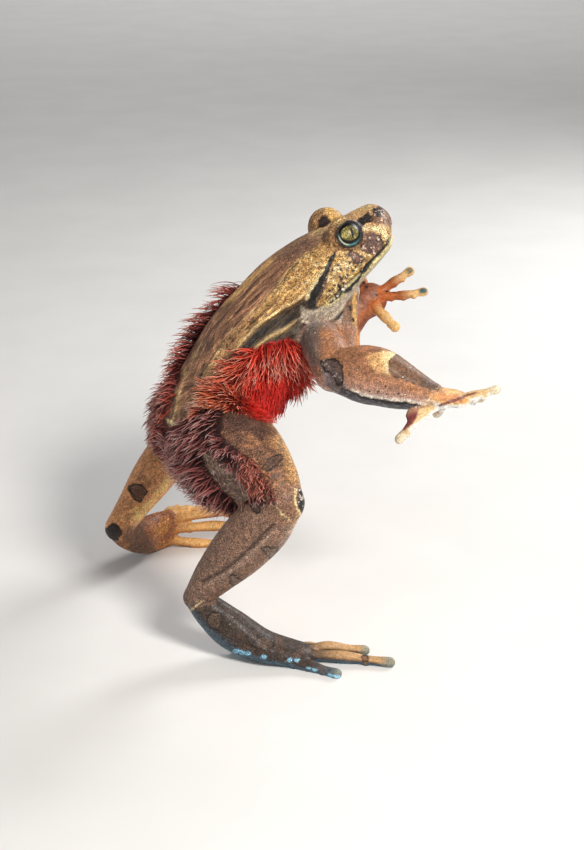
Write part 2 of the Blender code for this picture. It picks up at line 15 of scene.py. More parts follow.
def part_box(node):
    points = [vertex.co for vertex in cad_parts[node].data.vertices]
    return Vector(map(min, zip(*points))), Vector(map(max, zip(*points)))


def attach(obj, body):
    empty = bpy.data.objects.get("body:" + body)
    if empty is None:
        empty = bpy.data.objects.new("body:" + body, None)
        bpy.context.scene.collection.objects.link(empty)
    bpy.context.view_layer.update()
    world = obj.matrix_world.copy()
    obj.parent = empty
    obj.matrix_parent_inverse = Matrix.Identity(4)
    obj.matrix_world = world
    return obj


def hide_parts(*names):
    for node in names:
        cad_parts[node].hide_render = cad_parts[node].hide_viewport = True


MM = 0.001

# Driving sizes, in millimetres
SNOUT_VENT = 110.0
NECK = 40.0  # the head ends this far behind the snout
EYE_RADIUS = 5.5
EYE_BACK, EYE_OUT, EYE_UP = 15.4, 12.0, 11.0  # eye centre from the snout, the midline and the mouth line
LID_RADIUS = 6.7
LID_OPENING = (5.4, 4.7)  # half length and half height of the gap between the lids
LID_DEPTH, LID_SIDES = 0.74, 18  # where it is that wide, as a share of the lids' radius, and its sides
NOSTRIL_BACK, NOSTRIL_OUT, NOSTRIL_UP, NOSTRIL_RADIUS = 3.6, 4.6, 6.0, 0.75
MOUTH_GROOVE, MOUTH_CORNER = 0.9, 34.0
LEFT_LEAN = (-0.225, 0.960, -0.080)  # the frog's left, as its body leans

# The spine: distance behind the snout, then the point on the mouth line's level
SPINE = [
    (0.0, (33.4, 30.3, 131.2)),
    (36.0, (5.3, 20.4, 111.2)),
    (60.0, (-12.0, 12.8, 95.8)),
    (80.0, (-25.7, 6.6, 82.6)),
    (SNOUT_VENT, (-45.8, -2.9, 62.6)),
]
# Body sections: distance behind the snout, half width, rise above the spine, drop below it
BODY = [
    (0.0, 10.5, 9.4, 2.8),
    (5.0, 12.8, 11.4, 4.0),
    (12.0, 16.0, 12.8, 5.0),
    (20.0, 18.8, 14.6, 6.2),
    (30.0, 20.6, 16.4, 9.6),
    (40.0, 20.4, 17.4, 14.0),
    (50.0, 19.5, 17.2, 18.0),
    (64.0, 20.6, 16.4, 19.6),
    (78.0, 20.8, 13.2, 19.0),
    (90.0, 17.5, 10.2, 15.4),
    (100.0, 13.0, 8.2, 11.6),
    (SNOUT_VENT, 9.0, 6.0, 8.0),
]
NOSE_CAP, BROW_CAP, RUMP_CAP = 6.0, 4.0, 11.0  # lengths over which the ends round off
SNOUT_OVERHANG, OVERHANG_LENGTH = 5.0, 24.0  # how far the snout's top leans over the mouth, and its length
BODY_POWER = 2.35  # above 2, the sections are fuller than ellipses

# Limbs: joint centres and the half width and half height at each
RIGHT_THIGH = [
    ((-32.0, -4.0, 75.5), 12.0, 13.0),
    ((-23.0, -17.0, 72.8), 13.8, 15.0),
    ((-14.4, -28.5, 69.4), 13.0, 14.2),
    ((-7.4, -38.0, 65.2), 10.0, 11.0),
    ((-3.3, -45.0, 61.4), 7.4, 7.6),
]
RIGHT_SHANK = [
    ((-3.0, -45.4, 61.6), 6.9, 7.2),
    ((-9.6, -43.2, 52.5), 8.6, 9.6),
    ((-17.4, -40.6, 42.2), 8.4, 9.2),
    ((-25.6, -37.6, 31.4), 6.4, 7.0),
    ((-32.2, -35.0, 21.8), 4.3, 4.4),
]
RIGHT_FOOT = [
    ((-32.0, -35.0, 21.4), 4.3, 4.3),
    ((-26.6, -36.0, 16.0), 5.2, 6.0),
    ((-19.2, -37.0, 9.8), 6.0, 7.0),
    ((-9.5, -38.8, 5.3), 7.0, 5.0),
    ((1.5, -40.4, 3.2), 6.6, 3.4),
]
LEFT_THIGH = [
    ((-34.5, 8.0, 72.0), 11.5, 12.5),
    ((-34.8, 22.0, 64.2), 12.6, 13.4),
    ((-37.2, 35.0, 56.0), 11.8, 12.4),
    ((-40.6, 47.0, 49.2), 9.0, 9.4),
    ((-40.6, 55.0, 44.1), 7.2, 7.4),
]
LEFT_SHANK = [
    ((-40.4, 55.6, 44.6), 6.9, 7.2),
    ((-45.8, 48.4, 39.8), 8.4, 8.6),
    ((-52.5, 38.4, 33.3), 8.0, 7.8),
    ((-59.0, 28.0, 26.4), 6.1, 5.8),
    ((-64.0, 20.0, 21.0), 4.8, 5.0),
]
LEFT_FOOT = [
    ((-63.6, 20.6, 20.6), 4.8, 4.8),
    ((-61.6, 27.0, 15.4), 5.0, 5.6),
    ((-57.5, 35.5, 10.4), 5.2, 6.8),
    ((-53.0, 43.0, 8.0), 4.4, 7.9),
    ((-47.6, 47.6, 7.8), 3.2, 7.8),
]
RIGHT_UPPER_ARM = [
    ((6.5, 10.0, 101.8), 6.6, 6.8),
    ((9.4, 0.0, 100.4), 7.0, 7.2),
    ((12.1, -10.2, 99.0), 6.8, 7.2),
    ((13.8, -16.8, 95.4), 6.4, 6.6),
]
RIGHT_FOREARM = [
    ((13.6, -16.6, 95.2), 6.2, 6.4),
    ((20.6, -19.0, 96.0), 8.4, 9.2),
    ((28.1, -21.0, 95.4), 8.8, 9.7),
    ((36.4, -23.2, 92.8), 7.0, 7.8),
    ((45.4, -25.2, 90.4), 4.2, 4.6),
]
LEFT_UPPER_ARM = [
    ((0.0, 24.0, 104.0), 7.0, 7.0),
    ((6.0, 30.0, 96.0), 7.0, 7.2),
    ((12.4, 28.2, 87.8), 6.8, 7.0),
    ((17.0, 24.8, 82.1), 6.2, 6.4),
]
LEFT_FOREARM = [
    ((16.8, 25.0, 81.8), 6.2, 6.2),
    ((17.6, 28.4, 85.4), 7.0, 7.0),
    ((18.4, 32.0, 90.0), 6.2, 6.0),
    ((20.2, 35.8, 95.2), 4.9, 4.6),
]
RIGHT_PALM = [
    ((44.4, -25.2, 90.8), 3.9, 3.6),
    ((48.6, -25.2, 89.8), 5.2, 3.2),
    ((52.6, -25.0, 89.4), 5.4, 2.6),
]
LEFT_PALM = [
    ((20.4, 35.4, 93.6), 4.6, 4.2),
    ((23.8, 39.0, 99.4), 5.7, 3.4),
    ((28.2, 40.6, 102.4), 6.2, 2.8),
]
# Digits: root inside the palm, a bend, the tip, and the half thickness at the root
RIGHT_TOES = [
    ((-8.0, -35.8, 3.6), (-3.0, -34.6, 2.4), (3.5, -34.4, 1.7), 1.8),
    ((-3.0, -36.4, 3.6), (6.0, -34.8, 2.6), (15.0, -35.6, 1.7), 2.0),
    ((0.0, -38.4, 3.4), (12.5, -36.0, 3.3), (24.5, -35.9, 1.9), 2.2),
    ((0.0, -40.8, 3.2), (17.0, -41.4, 2.6), (32.6, -43.6, 1.7), 2.3),
    ((-3.5, -43.4, 2.8), (6.0, -46.6, 2.2), (14.6, -50.6, 1.6), 2.2),
]
LEFT_TOES = [
    ((-51.0, 47.6, 12.0), (-47.6, 51.4, 13.4), (-44.6, 54.2, 13.2), 1.8),
    ((-48.6, 48.4, 12.6), (-41.6, 52.4, 13.4), (-35.6, 55.4, 12.2), 2.0),
    ((-47.6, 48.0, 11.0), (-32.0, 50.8, 12.8), (-18.5, 52.6, 12.4), 2.2),
    ((-47.4, 47.6, 7.4), (-30.6, 49.0, 8.0), (-13.4, 50.0, 7.4), 2.3),
    ((-48.6, 46.6, 3.4), (-37.0, 46.2, 2.0), (-24.6, 46.6, 1.6), 2.2),
]
RIGHT_FINGERS = [
    ((49.6, -21.6, 88.6), (50.0, -16.6, 84.2), (48.6, -13.4, 79.6), 1.9),
    ((52.4, -23.2, 88.8), (57.2, -21.2, 88.0), (62.0, -19.4, 87.2), 1.8),
    ((52.6, -25.4, 89.4), (59.4, -26.0, 90.8), (66.0, -26.4, 93.0), 1.9),
    ((47.0, -27.2, 88.2), (39.8, -30.2, 83.8), (35.0, -30.8, 77.6), 2.0),
]
LEFT_FINGERS = [
    ((27.4, 41.4, 103.2), (25.6, 46.0, 107.6), (24.5, 50.0, 111.2), 2.0),
    ((31.2, 41.4, 104.6), (36.8, 42.8, 108.4), (42.4, 43.8, 112.0), 2.0),
    ((32.0, 40.2, 103.6), (40.0, 38.8, 104.6), (47.2, 38.0, 106.2), 1.9),
    ((29.6, 38.2, 100.8), (33.4, 34.6, 97.8), (36.8, 31.9, 95.0), 2.2),
]
FLOOR_LEVEL = 0.5  # the feet are shaved flat here
# The photograph's camera, in millimetres and pixels
ELEVATION = math.radians(22.0)
RANGE, FOCAL = 550.0, 1595.0
TARGET = np.array((0.0, 0.0, 70.0))
BACK = np.array((0.0, -math.cos(ELEVATION), math.sin(ELEVATION)))
RISE = np.array((0.0, math.sin(ELEVATION), math.cos(ELEVATION)))
FRAME_WIDTH, FRAME_HEIGHT = 584, 850

VOXEL = 0.42  # edge of the skin's mesh
UP, FORE = (0, 0, 1), (1, 0, 0)
LIMBS = {
    "thigh_right": (RIGHT_THIGH, UP),
    "shank_right": (RIGHT_SHANK, FORE),
    "foot_right": (RIGHT_FOOT, UP),
    "upper_arm_right": (RIGHT_UPPER_ARM, FORE),
    "forearm_right": (RIGHT_FOREARM, UP),
    "hand_right": (RIGHT_PALM, UP),
    "thigh_left": (LEFT_THIGH, UP),
    "shank_left": (LEFT_SHANK, UP),
    "foot_left": (LEFT_FOOT, UP),
    "upper_arm_left": (LEFT_UPPER_ARM, UP),
    "forearm_left": (LEFT_FOREARM, (1, -1, 0)),
    "hand_left": (LEFT_PALM, (0, -1, 0.3)),
}
DIGITS = {
    "foot_right": (RIGHT_TOES, UP, (0.0, -0.25, -1.0)),
    "foot_left": (LEFT_TOES, UP, (0.2, 0.3, -1.0)),
    "hand_right": (RIGHT_FINGERS, UP, (-0.1, -0.25, -1.0)),
    "hand_left": (LEFT_FINGERS, (0, -1, 0), (0.1, -0.55, -0.75)),
}


def vec(*values):
    return np.array(values, float)


def unit(v):
    return v / np.maximum(np.linalg.norm(v, axis=-1, keepdims=True), 1e-12)


def smooth(low, high, x):
    """0 below low, 1 above high, and an easy slope between."""
    t = np.clip((x - low) / (high - low), 0.0, 1.0)
    return t * t * (3 - 2 * t)


def curve(rows):
    """A smooth curve through rows of (x, value, ...), as a function of x."""
    xs = np.array([row[0] for row in rows], float)
    ys = np.array([np.hstack([np.ravel(value) for value in row[1:]]) for row in rows], float)
    low = np.maximum(np.arange(len(xs)) - 1, 0)
    high = np.minimum(np.arange(len(xs)) + 1, len(xs) - 1)
    slopes = (ys[high] - ys[low]) / (xs[high] - xs[low])[:, None]

    def at(x):
        x = np.asarray(x, float)
        i = np.clip(np.searchsorted(xs, x, side="right") - 1, 0, len(xs) - 2)
        span = (xs[i + 1] - xs[i])[..., None]
        t = (x - xs[i])[..., None] / span
        start = ys[i] * (2 * t**3 - 3 * t**2 + 1) + slopes[i] * (span * (t**3 - 2 * t**2 + t))
        return start + ys[i + 1] * (3 * t**2 - 2 * t**3) + slopes[i + 1] * (span * (t**3 - t**2))

    return at


def cap(distance, length):
    """1 away from an end, falling to 0 at it like the end of an ellipse."""
    return np.sqrt(np.clip(1.0 - (1.0 - np.clip(distance / length, 0.0, 1.0)) ** 2, 0.0, 1.0))


spine_at, section_at = curve(SPINE), curve(BODY)
SNOUT_AXIS = unit(spine_at(0.0) - spine_at(36.0))


def body_frame(distance):
    """The spine's point, the frog's left, its dorsal direction and the way ahead, at a distance behind the snout."""
    distance = np.asarray(distance, float)
    ahead = unit(spine_at(np.maximum(distance - 1.0, 0.0)) - spine_at(distance + 1.0))
    lean = np.array(LEFT_LEAN)
    left = unit(lean - ahead * (ahead @ lean)[..., None])
    return spine_at(distance), left, np.cross(ahead, left), ahead


def body_point(distance, angle):
    """Points on the body: angle 0 is the frog's left at the mouth line, and 90 degrees is the back."""
    centre, left, up, ahead = body_frame(distance)
    width, rise, drop = np.moveaxis(section_at(distance), -1, 0)
    rump, nose, brow = cap(SNOUT_VENT - distance, RUMP_CAP), cap(distance, NOSE_CAP), cap(distance, BROW_CAP)
    cosine, sine = np.cos(angle), np.sin(angle)
    across = np.sign(cosine) * np.abs(cosine) ** (2 / BODY_POWER)
    along = np.sign(sine) * np.abs(sine) ** (2 / BODY_POWER)
    height = np.where(along > 0, rise * brow * rump, drop * nose * rump) * along
    over = SNOUT_OVERHANG * np.maximum(along, 0) * np.maximum(0.0, 1.0 - distance / OVERHANG_LENGTH) ** 2 * brow**0.35
    side = (width * nose * rump * across)[..., None]
    return centre + left * side + up * height[..., None] + SNOUT_AXIS * over[..., None]


def limb_rings(joints, up_hint, sides, count):
    """Rings of a limb, its two poles, and its frames: centre, side, up and way at each ring."""
    centres = [np.array(centre, float) for centre, _, _ in joints]
    runs = np.concatenate([[0.0], np.cumsum([np.linalg.norm(b - a) for a, b in zip(centres, centres[1:])])])
    at = curve([(run, centre, row[1], row[2]) for run, centre, row in zip(runs, centres, joints)])
    length, first_cap, last_cap = runs[-1], joints[0][1], joints[-1][1]
    total = length + first_cap + last_cap
    share = 0.5 - 0.5 * np.cos(math.pi * (np.arange(count) + 0.6) / (count + 0.2))
    along = total * share - first_cap
    inner = np.clip(along, 0.0, length)
    values = at(inner)
    start_way, end_way = unit(centres[1] - centres[0]), unit(centres[-1] - centres[-2])
    way = unit(at(np.minimum(inner + 0.5, length))[:, :3] - at(np.maximum(inner - 0.5, 0.0))[:, :3])
    way[along < 0], way[along > length] = start_way, end_way
    centre = values[:, :3] + way * (along - inner)[:, None]
    side = unit(np.cross(np.array(up_hint, float), way))
    up = np.cross(way, side)
    end = cap(along + first_cap, first_cap) * cap(total - first_cap - along, last_cap)
    turn = 2 * math.pi * np.arange(sides) / sides
    wide, high = (values[:, 3] * end)[:, None, None], (values[:, 4] * end)[:, None, None]
    ring = centre[:, None] + side[:, None] * wide * np.cos(turn)[None, :, None]
    ring = ring + up[:, None] * high * np.sin(turn)[None, :, None]
    poles = centres[0] - start_way * first_cap, centres[-1] + end_way * last_cap
    return ring, poles, (along, centre, side, up, way)


def tube(rings, poles):
    """Vertices and triangles of a closed surface through rings, with a pole at each end."""
    count, sides = rings.shape[:2]
    verts = np.concatenate([rings.reshape(-1, 3), np.array(poles)])
    i, k = np.meshgrid(np.arange(count - 1), np.arange(sides), indexing="ij")
    a, b = (i * sides + k).ravel(), (i * sides + (k + 1) % sides).ravel()
    c, d = b + sides, a + sides
    faces = [np.stack([a, c, b], 1), np.stack([a, d, c], 1)]
    k = np.arange(sides)
    last = (count - 1) * sides
    faces.append(np.stack([k, (k + 1) % sides, np.full(sides, count * sides)], 1))
    faces.append(np.stack([last + (k + 1) % sides, last + k, np.full(sides, count * sides + 1)], 1))
    return verts, np.concatenate(faces)


def ball(centre, radius, segments=28):
    """Vertices and triangles of a ball."""
    lat = math.pi * (np.arange(segments // 2) + 0.5) / (segments // 2)
    turn = 2 * math.pi * np.arange(segments) / segments
    ring = np.stack([
        np.sin(lat)[:, None] * np.cos(turn), np.sin(lat)[:, None] * np.sin(turn), -np.cos(lat)[:, None] + 0 * turn
    ], -1)
    radius = np.broadcast_to(np.asarray(radius, float), (3,))
    poles = [np.array(centre) + radius * (0, 0, -1), np.array(centre) + radius * (0, 0, 1)]
    return tube(ring * radius + np.array(centre), poles)


def eye_frame(side):
    """The eye's centre, the way it looks and the head's own dorsal direction; side is 1 on the left."""
    centre, left, up, _ = body_frame(EYE_BACK)
    look = unit(left * side + SNOUT_AXIS * 0.22 + up * 0.30)
    return centre + left * (EYE_OUT * side) + up * EYE_UP, look, up


def make_mesh(name, verts, faces):
    """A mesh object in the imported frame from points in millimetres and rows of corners."""
    data = bpy.data.meshes.new(name)
    data.vertices.add(len(verts))
    data.vertices.foreach_set("co", (verts * MM + SHIFT).ravel())
    corners = faces.shape[1]
    data.loops.add(faces.size)
    data.loops.foreach_set("vertex_index", faces.ravel().astype(np.int32))
    data.polygons.add(len(faces))
    data.polygons.foreach_set("loop_start", np.arange(0, faces.size, corners, dtype=np.int32))
    data.polygons.foreach_set("loop_total", np.full(len(faces), corners, np.int32))
    data.update(calc_edges=True)
    data.validate()
    made = bpy.data.objects.new(name, data)
    bpy.context.scene.collection.objects.link(made)
    return made


def read_mesh(data):
    """Vertices in millimetres and quads or triangles of a mesh."""
    verts = np.empty(len(data.vertices) * 3)
    data.vertices.foreach_get("co", verts)
    corners = np.empty(len(data.loops), np.int64)
    data.loops.foreach_get("vertex_index", corners)
    return (verts.reshape(-1, 3) - SHIFT) / MM, corners.reshape(len(data.polygons), -1)


def edges_of(faces):
    pairs = np.concatenate([faces[:, [k, (k + 1) % faces.shape[1]]] for k in range(faces.shape[1])])
    pairs = np.unique(np.sort(pairs, axis=1), axis=0)
    return pairs[:, 0], pairs[:, 1]


class Surface:
    """A mesh as arrays, with averages over neighbours and normals."""

    def __init__(self, verts, faces):
        self.verts, self.faces = verts, faces
        self.near, self.far = edges_of(faces)
        count = len(verts)
        self.degree = np.maximum(np.bincount(self.near, minlength=count) + np.bincount(self.far, minlength=count), 1)

    def blurred(self, values):
        """Each vertex's mean over its neighbours."""
        flat = values.reshape(len(values), -1)
        count, total = len(values), np.empty_like(flat, dtype=float)
        for k in range(flat.shape[1]):
            column = flat[:, k]
            total[:, k] = np.bincount(self.near, column[self.far], count) + np.bincount(self.far, column[self.near], count)
        return (total / self.degree[:, None]).reshape(values.shape)

    def soften(self, rounds, weight=1.0):
        """Evens out bumps over a few edges without shrinking the form."""
        for _ in range(rounds):
            for step in (0.5, -0.52):
                self.verts = self.verts + (self.blurred(self.verts) - self.verts) * (step * weight)

    def melt(self, rounds, weight):
        """Smooths the form where weight is 1."""
        for _ in range(rounds):
            self.verts = self.verts + (self.blurred(self.verts) - self.verts) * (0.6 * weight)

    def normals(self):
        a, b, c, d = (self.verts[self.faces[:, k]] for k in range(4))
        face = np.cross(c - a, d - b)
        total = np.zeros_like(self.verts)
        for k in range(4):
            for axis in range(3):
                total[:, axis] += np.bincount(self.faces[:, k], face[:, axis], len(total))
        return unit(total)


def noise(points, size, seed=0):
    """Smooth noise from -1 to 1, with features about size across."""
    q = points / size + seed * 17.31
    cell = np.floor(q).astype(np.int64)
    f = q - cell
    f = f * f * (3 - 2 * f)
    total = np.zeros(len(points))
    for corner in range(8):
        step = ((corner & 1), (corner >> 1) & 1, (corner >> 2) & 1)
        key = (cell[:, 0] + step[0]) * 73856093 ^ (cell[:, 1] + step[1]) * 19349663 ^ (cell[:, 2] + step[2]) * 83492791
        key = ((key ^ (key >> 13)) * 1274126177) & 0x7FFFFFFF
        value = ((key ^ (key >> 16)) % 65536) / 32767.5 - 1.0
        weight = np.ones(len(points))
        for axis in range(3):
            weight *= f[:, axis] if step[axis] else 1 - f[:, axis]
        total += weight * value
    return total


def layered(points, size, seed=0, layers=3):
    """Noise with finer noise on it."""
    total = sum(noise(points, size / 2**k, seed + k) / 1.7**k for k in range(layers))
    return total / sum(1 / 1.7**k for k in range(layers))


def pixels(points):
    """Where points fall in the photograph, in pixels from its top left corner."""
    reach = points - TARGET
    depth = RANGE - reach @ BACK
    return np.stack([FRAME_WIDTH / 2 + FOCAL * reach[:, 0] / depth, FRAME_HEIGHT / 2 - FOCAL * (reach @ RISE) / depth], 1)


def along_line(uv, line):
    """Distance in pixels to a line of (x, y, ...) points, and the share and values of its nearest point."""
    line = np.array(line, float)
    best = np.full(len(uv), 1e9)
    share, values = np.zeros(len(uv)), np.zeros((len(uv), line.shape[1] - 2))
    for i, (a, b) in enumerate(zip(line, line[1:])):
        run = b[:2] - a[:2]
        t = np.clip(((uv - a[:2]) @ run) / (run @ run), 0, 1)
        gap = np.linalg.norm(uv - a[:2] - t[:, None] * run, axis=1)
        nearer = gap < best
        best[nearer] = gap[nearer]
        share[nearer] = (i + t[nearer]) / (len(line) - 1)
        values[nearer] = a[2:] + t[nearer, None] * (b[2:] - a[2:])
    return best, share, values


def stroke(uv, line, soft=0.9):
    """1 inside a line of (x, y, half width) points, in pixels."""
    gap, _, values = along_line(uv, line)
    return smooth(-soft, soft, values[:, 0] - gap)


def ridge(uv, line):
    """A rounded ridge, 1 high, along a line of (x, y, half width) points."""
    gap, _, values = along_line(uv, line)
    return np.exp(-((gap / np.maximum(values[:, 0], 0.3)) ** 2)) * (values[:, 0] > 0.05)


def inside(uv, corners):
    """Distance in pixels inside a closed outline, negative outside it."""
    corners = np.array(corners, float)
    gap, _, _ = along_line(uv, np.concatenate([corners, corners[:1]]))
    within = np.zeros(len(uv), bool)
    for a, b in zip(corners, np.roll(corners, -1, axis=0)):
        if a[1] != b[1]:
            crosses = (a[1] > uv[:, 1]) != (b[1] > uv[:, 1])
            within ^= crosses & (uv[:, 0] < (b[0] - a[0]) * (uv[:, 1] - a[1]) / (b[1] - a[1]) + a[0])
    return np.where(within, gap, -gap)


def patch(uv, corners, soft=0.9):
    return smooth(-soft, soft, inside(uv, corners))


def digit_rows(digit):
    """A finger or toe's joints: swollen a little at its bends, with a pad at the tip."""
    root, bend, tip, thick = (np.array(value, float) for value in digit)
    thick = float(thick)
    return [
        (root, thick * 1.05, thick),
        (root + (bend - root) * 0.55, thick * 0.80, thick * 0.78),
        (bend, thick * 0.92, thick * 0.92),
        (bend + (tip - bend) * 0.55, thick * 0.68, thick * 0.66),
        (tip, thick * 0.90, thick * 0.78),
    ]


# The full throat between the arms, and the webs at the right hand's outer finger
THROAT_FORM = [((18.6, 13.5, 114.0), 4.6, 4.6), ((16.2, 11.5, 106.5), 6.4, 6.4), ((15.2, 9.5, 98.0), 6.8, 6.8)]
THIGH_FORM = [((-28.0, -6.0, 69.5), 10.0, 10.0), ((-25.0, -17.0, 68.4), 11.8, 11.8), ((-17.4, -28.0, 64.8), 11.6, 11.6),
              ((-12.0, -36.0, 61.0), 7.6, 7.6)]
HAND_WEBS = [((39.6, -29.0, 85.0), (2.7, 1.2, 3.0)), ((43.4, -28.4, 87.0), (2.6, 1.1, 1.9))]


# Pads along the right foot's outer edge: pixel and size in pixels
FOOT_PADS = [(236, 650, 2.6), (242, 651.5, 2.6), (248, 652.5, 2.4), (264, 656, 2.4), (290, 659, 2.4), (297, 659, 2.4)]


def at_height(x, y, z):
    """The point at a height that falls at a pixel of the photograph."""
    eye = TARGET + BACK * RANGE
    way = vec((x - FRAME_WIDTH / 2) / FOCAL, 0, 0) + RISE * (FRAME_HEIGHT / 2 - y) / FOCAL - BACK
    return eye + way * ((z - eye[2]) / way[2])


def build_form():
    """Closed shells of the whole frog, and sample points that tell which part a place belongs to."""
    shells, parts, places, owners, runs = [], [], [], [], []

    def keep(name, digit, points, run, frames):
        parts.append((name, digit, frames))
        places.append(points.reshape(-1, 3))
        owners.append(np.full(points.size // 3, len(parts) - 1))
        runs.append(np.repeat(run, points.shape[1]))

    count, sides = 170, 110
    distance = SNOUT_VENT * (0.5 - 0.5 * np.cos(math.pi * (np.arange(count) + 0.55) / count)) ** 0.92
    turn = 2 * math.pi * np.arange(sides) / sides
    rings = body_point(distance[:, None] + 0 * turn, turn + 0 * distance[:, None])
    shells.append(tube(rings, (spine_at(0.0), spine_at(SNOUT_VENT))))
    keep("body", 0, rings[:, ::2], distance, None)
    for side in (-1, 1):
        centre, look, _ = eye_frame(side)
        shells.append(ball(centre - look * 0.2, LID_RADIUS, 48))
    shells.append(tube(*limb_rings(THROAT_FORM, FORE, 40, 48)[:2]))
    shells.append(tube(*limb_rings(THIGH_FORM, FORE, 40, 48)[:2]))
    for centre, radius in HAND_WEBS:
        shells.append(ball(centre, radius, 24))
    for x, y, size in FOOT_PADS:
        shells.append(ball(at_height(x, y, size * 0.36 + 0.5), size * 0.36, 20))
    for name, (joints, up_hint) in LIMBS.items():
        rings, poles, frames = limb_rings(joints, up_hint, 56, 64)
        shells.append(tube(rings, poles))
        keep(name, 0, rings[:, ::2], frames[0], frames)
        if name in DIGITS:
            digits, digit_up, down = DIGITS[name]
            for number, digit in enumerate(digits, 1):
                rings, poles, frames = limb_rings(digit_rows(digit), digit_up, 20, 40)
                shells.append(tube(rings, poles))
                keep(name, number, rings, frames[0], frames)
                root, bend, tip = (np.array(value, float) for value in digit[:3])
                for share, low, high in ((0.45, root, bend), (1.0, root, bend), (0.5, bend, tip)):
                    out, size = (0.62, 0.72) if name == "hand_right" else (0.50, 0.62)
                    spot = low + (high - low) * share + unit(vec(*down)) * digit[3] * out
                    shells.append(ball(spot, digit[3] * size, 16))
    return shells, parts, np.concatenate(places), np.concatenate(owners), np.concatenate(runs)


def fuse(shells):
    """One closed surface round all shells."""
    verts, faces, base = [], [], 0
    for points, corners in shells:
        verts.append(points)
        faces.append(corners + base)
        base += len(points)
    made = make_mesh("form", np.concatenate(verts), np.concatenate(faces))
    change = made.modifiers.new("fuse", "REMESH")
    change.mode, change.voxel_size = "VOXEL", VOXEL * MM
    bpy.context.view_layer.update()
    data = bpy.data.meshes.new_from_object(made.evaluated_get(bpy.context.evaluated_depsgraph_get()))
    bpy.data.objects.remove(made)
    points, corners = read_mesh(data)
    bpy.data.meshes.remove(data)
    return Surface(points, corners)


def body_place(points, run):
    """Distance along the body of points near it, and their offsets left of the spine and above it."""
    for _ in range(4):
        centre, left, up, ahead = body_frame(run)
        run = np.clip(run - np.sum((points - centre) * ahead, 1), 0.0, SNOUT_VENT)
    centre, left, up, _ = body_frame(run)
    return run, np.sum((points - centre) * left, 1), np.sum((points - centre) * up, 1)


def place_all(points, parts, places, owners, runs):
    """For each point its part, distance along it, angle round it and, on the body, offset left and up."""
    tree = kdtree.KDTree(len(places))
    for i, place in enumerate(places):
        tree.insert(place, i)
    tree.balance()
    near = np.array([tree.find(point)[1] for point in points])
    owner, run = owners[near], runs[near].copy()
    side_way, up_way = np.zeros(len(points)), np.zeros(len(points))
    share = np.zeros(len(points))
    for k, (_, _, frames) in enumerate(parts):
        mine = np.flatnonzero(owner == k)
        here, along = points[mine], run[mine]
        if frames is None:
            run[mine], side_way[mine], up_way[mine] = body_place(here, along)
            share[mine] = run[mine] / SNOUT_VENT
            continue
        for _ in range(3):
            centre, side, up, way = (
                np.stack([np.interp(along, frames[0], values[:, axis]) for axis in range(3)], 1)
                for values in frames[1:]
            )
            along = np.clip(along + np.sum((here - centre) * way, 1), frames[0][0], frames[0][-1])
        share[mine] = (along - frames[0][0]) / (frames[0][-1] - frames[0][0])
        run[mine] = along
        side_way[mine] = np.sum((here - centre) * side, 1)
        up_way[mine] = np.sum((here - centre) * up, 1)
    return owner, run, share, side_way, up_way


def claim_hips(points, part, run, share, side_way, up_way):
    """Gives the body the top of each hip, where the back's skin and the flank's hair run on over it."""
    thighs = np.flatnonzero(np.isin(part, ("thigh_right", "thigh_left")))
    here = points[thighs]
    at, aside, above = body_place(here, np.full(len(thighs), 95.0))
    mirrored = here - 2 * np.maximum(aside, 0)[:, None] * body_frame(at)[1]
    hip = (inside(pixels(mirrored), HIP) > 0) & ((above > 1) | (np.abs(aside) > 6))
    chosen = thighs[hip]
    part[chosen], run[chosen], share[chosen] = "body", at[hip], at[hip] / SNOUT_VENT
    side_way[chosen], up_way[chosen] = aside[hip], above[hip]


def carve_lids(skin):
    """Opens the lids over each eye, with a rounded rim and a crease behind it; returns 1 at the rim, more outside."""
    lids = np.full(len(skin.verts), 9.0)
    for side in (-1, 1):
        centre, look, up = eye_frame(side)
        across = unit(np.cross(up, look))
        above = np.cross(look, across)
        rel = skin.verts - centre
        radius = np.linalg.norm(rel, axis=1)
        way = unit(rel)
        ahead = way @ look
        near = (radius < 9.5) & (ahead > 0.15)
        long, high = (way @ across - 0.03) / 0.83, (way @ above) / np.where(way @ above > 0, 0.70, 0.74)
        opening = np.where(ahead > 0.15, np.hypot(long, high) ** 2 + 0.10 * long**4, 9.0)
        rim = 4.7 + 1.20 * smooth(0.84, 0.98, opening) + 0.18 * np.exp(-(((opening - 1.06) / 0.07) ** 2))
        blend = smooth(1.12, 1.55, opening)
        target = rim * (1 - blend) + radius * blend - 0.30 * np.exp(-(((opening - 1.55) / 0.12) ** 2))
        skin.verts[near] = centre + way[near] * target[near, None]
        lids = np.minimum(lids, np.where(near, opening, 9.0))
    return lids


HIP = [(205, 325), (165, 400), (160, 432), (183, 431), (194, 418), (208, 408), (226, 407), (240, 412), (252, 417),
       (264, 421), (278, 416), (294, 380), (300, 350), (250, 340)]
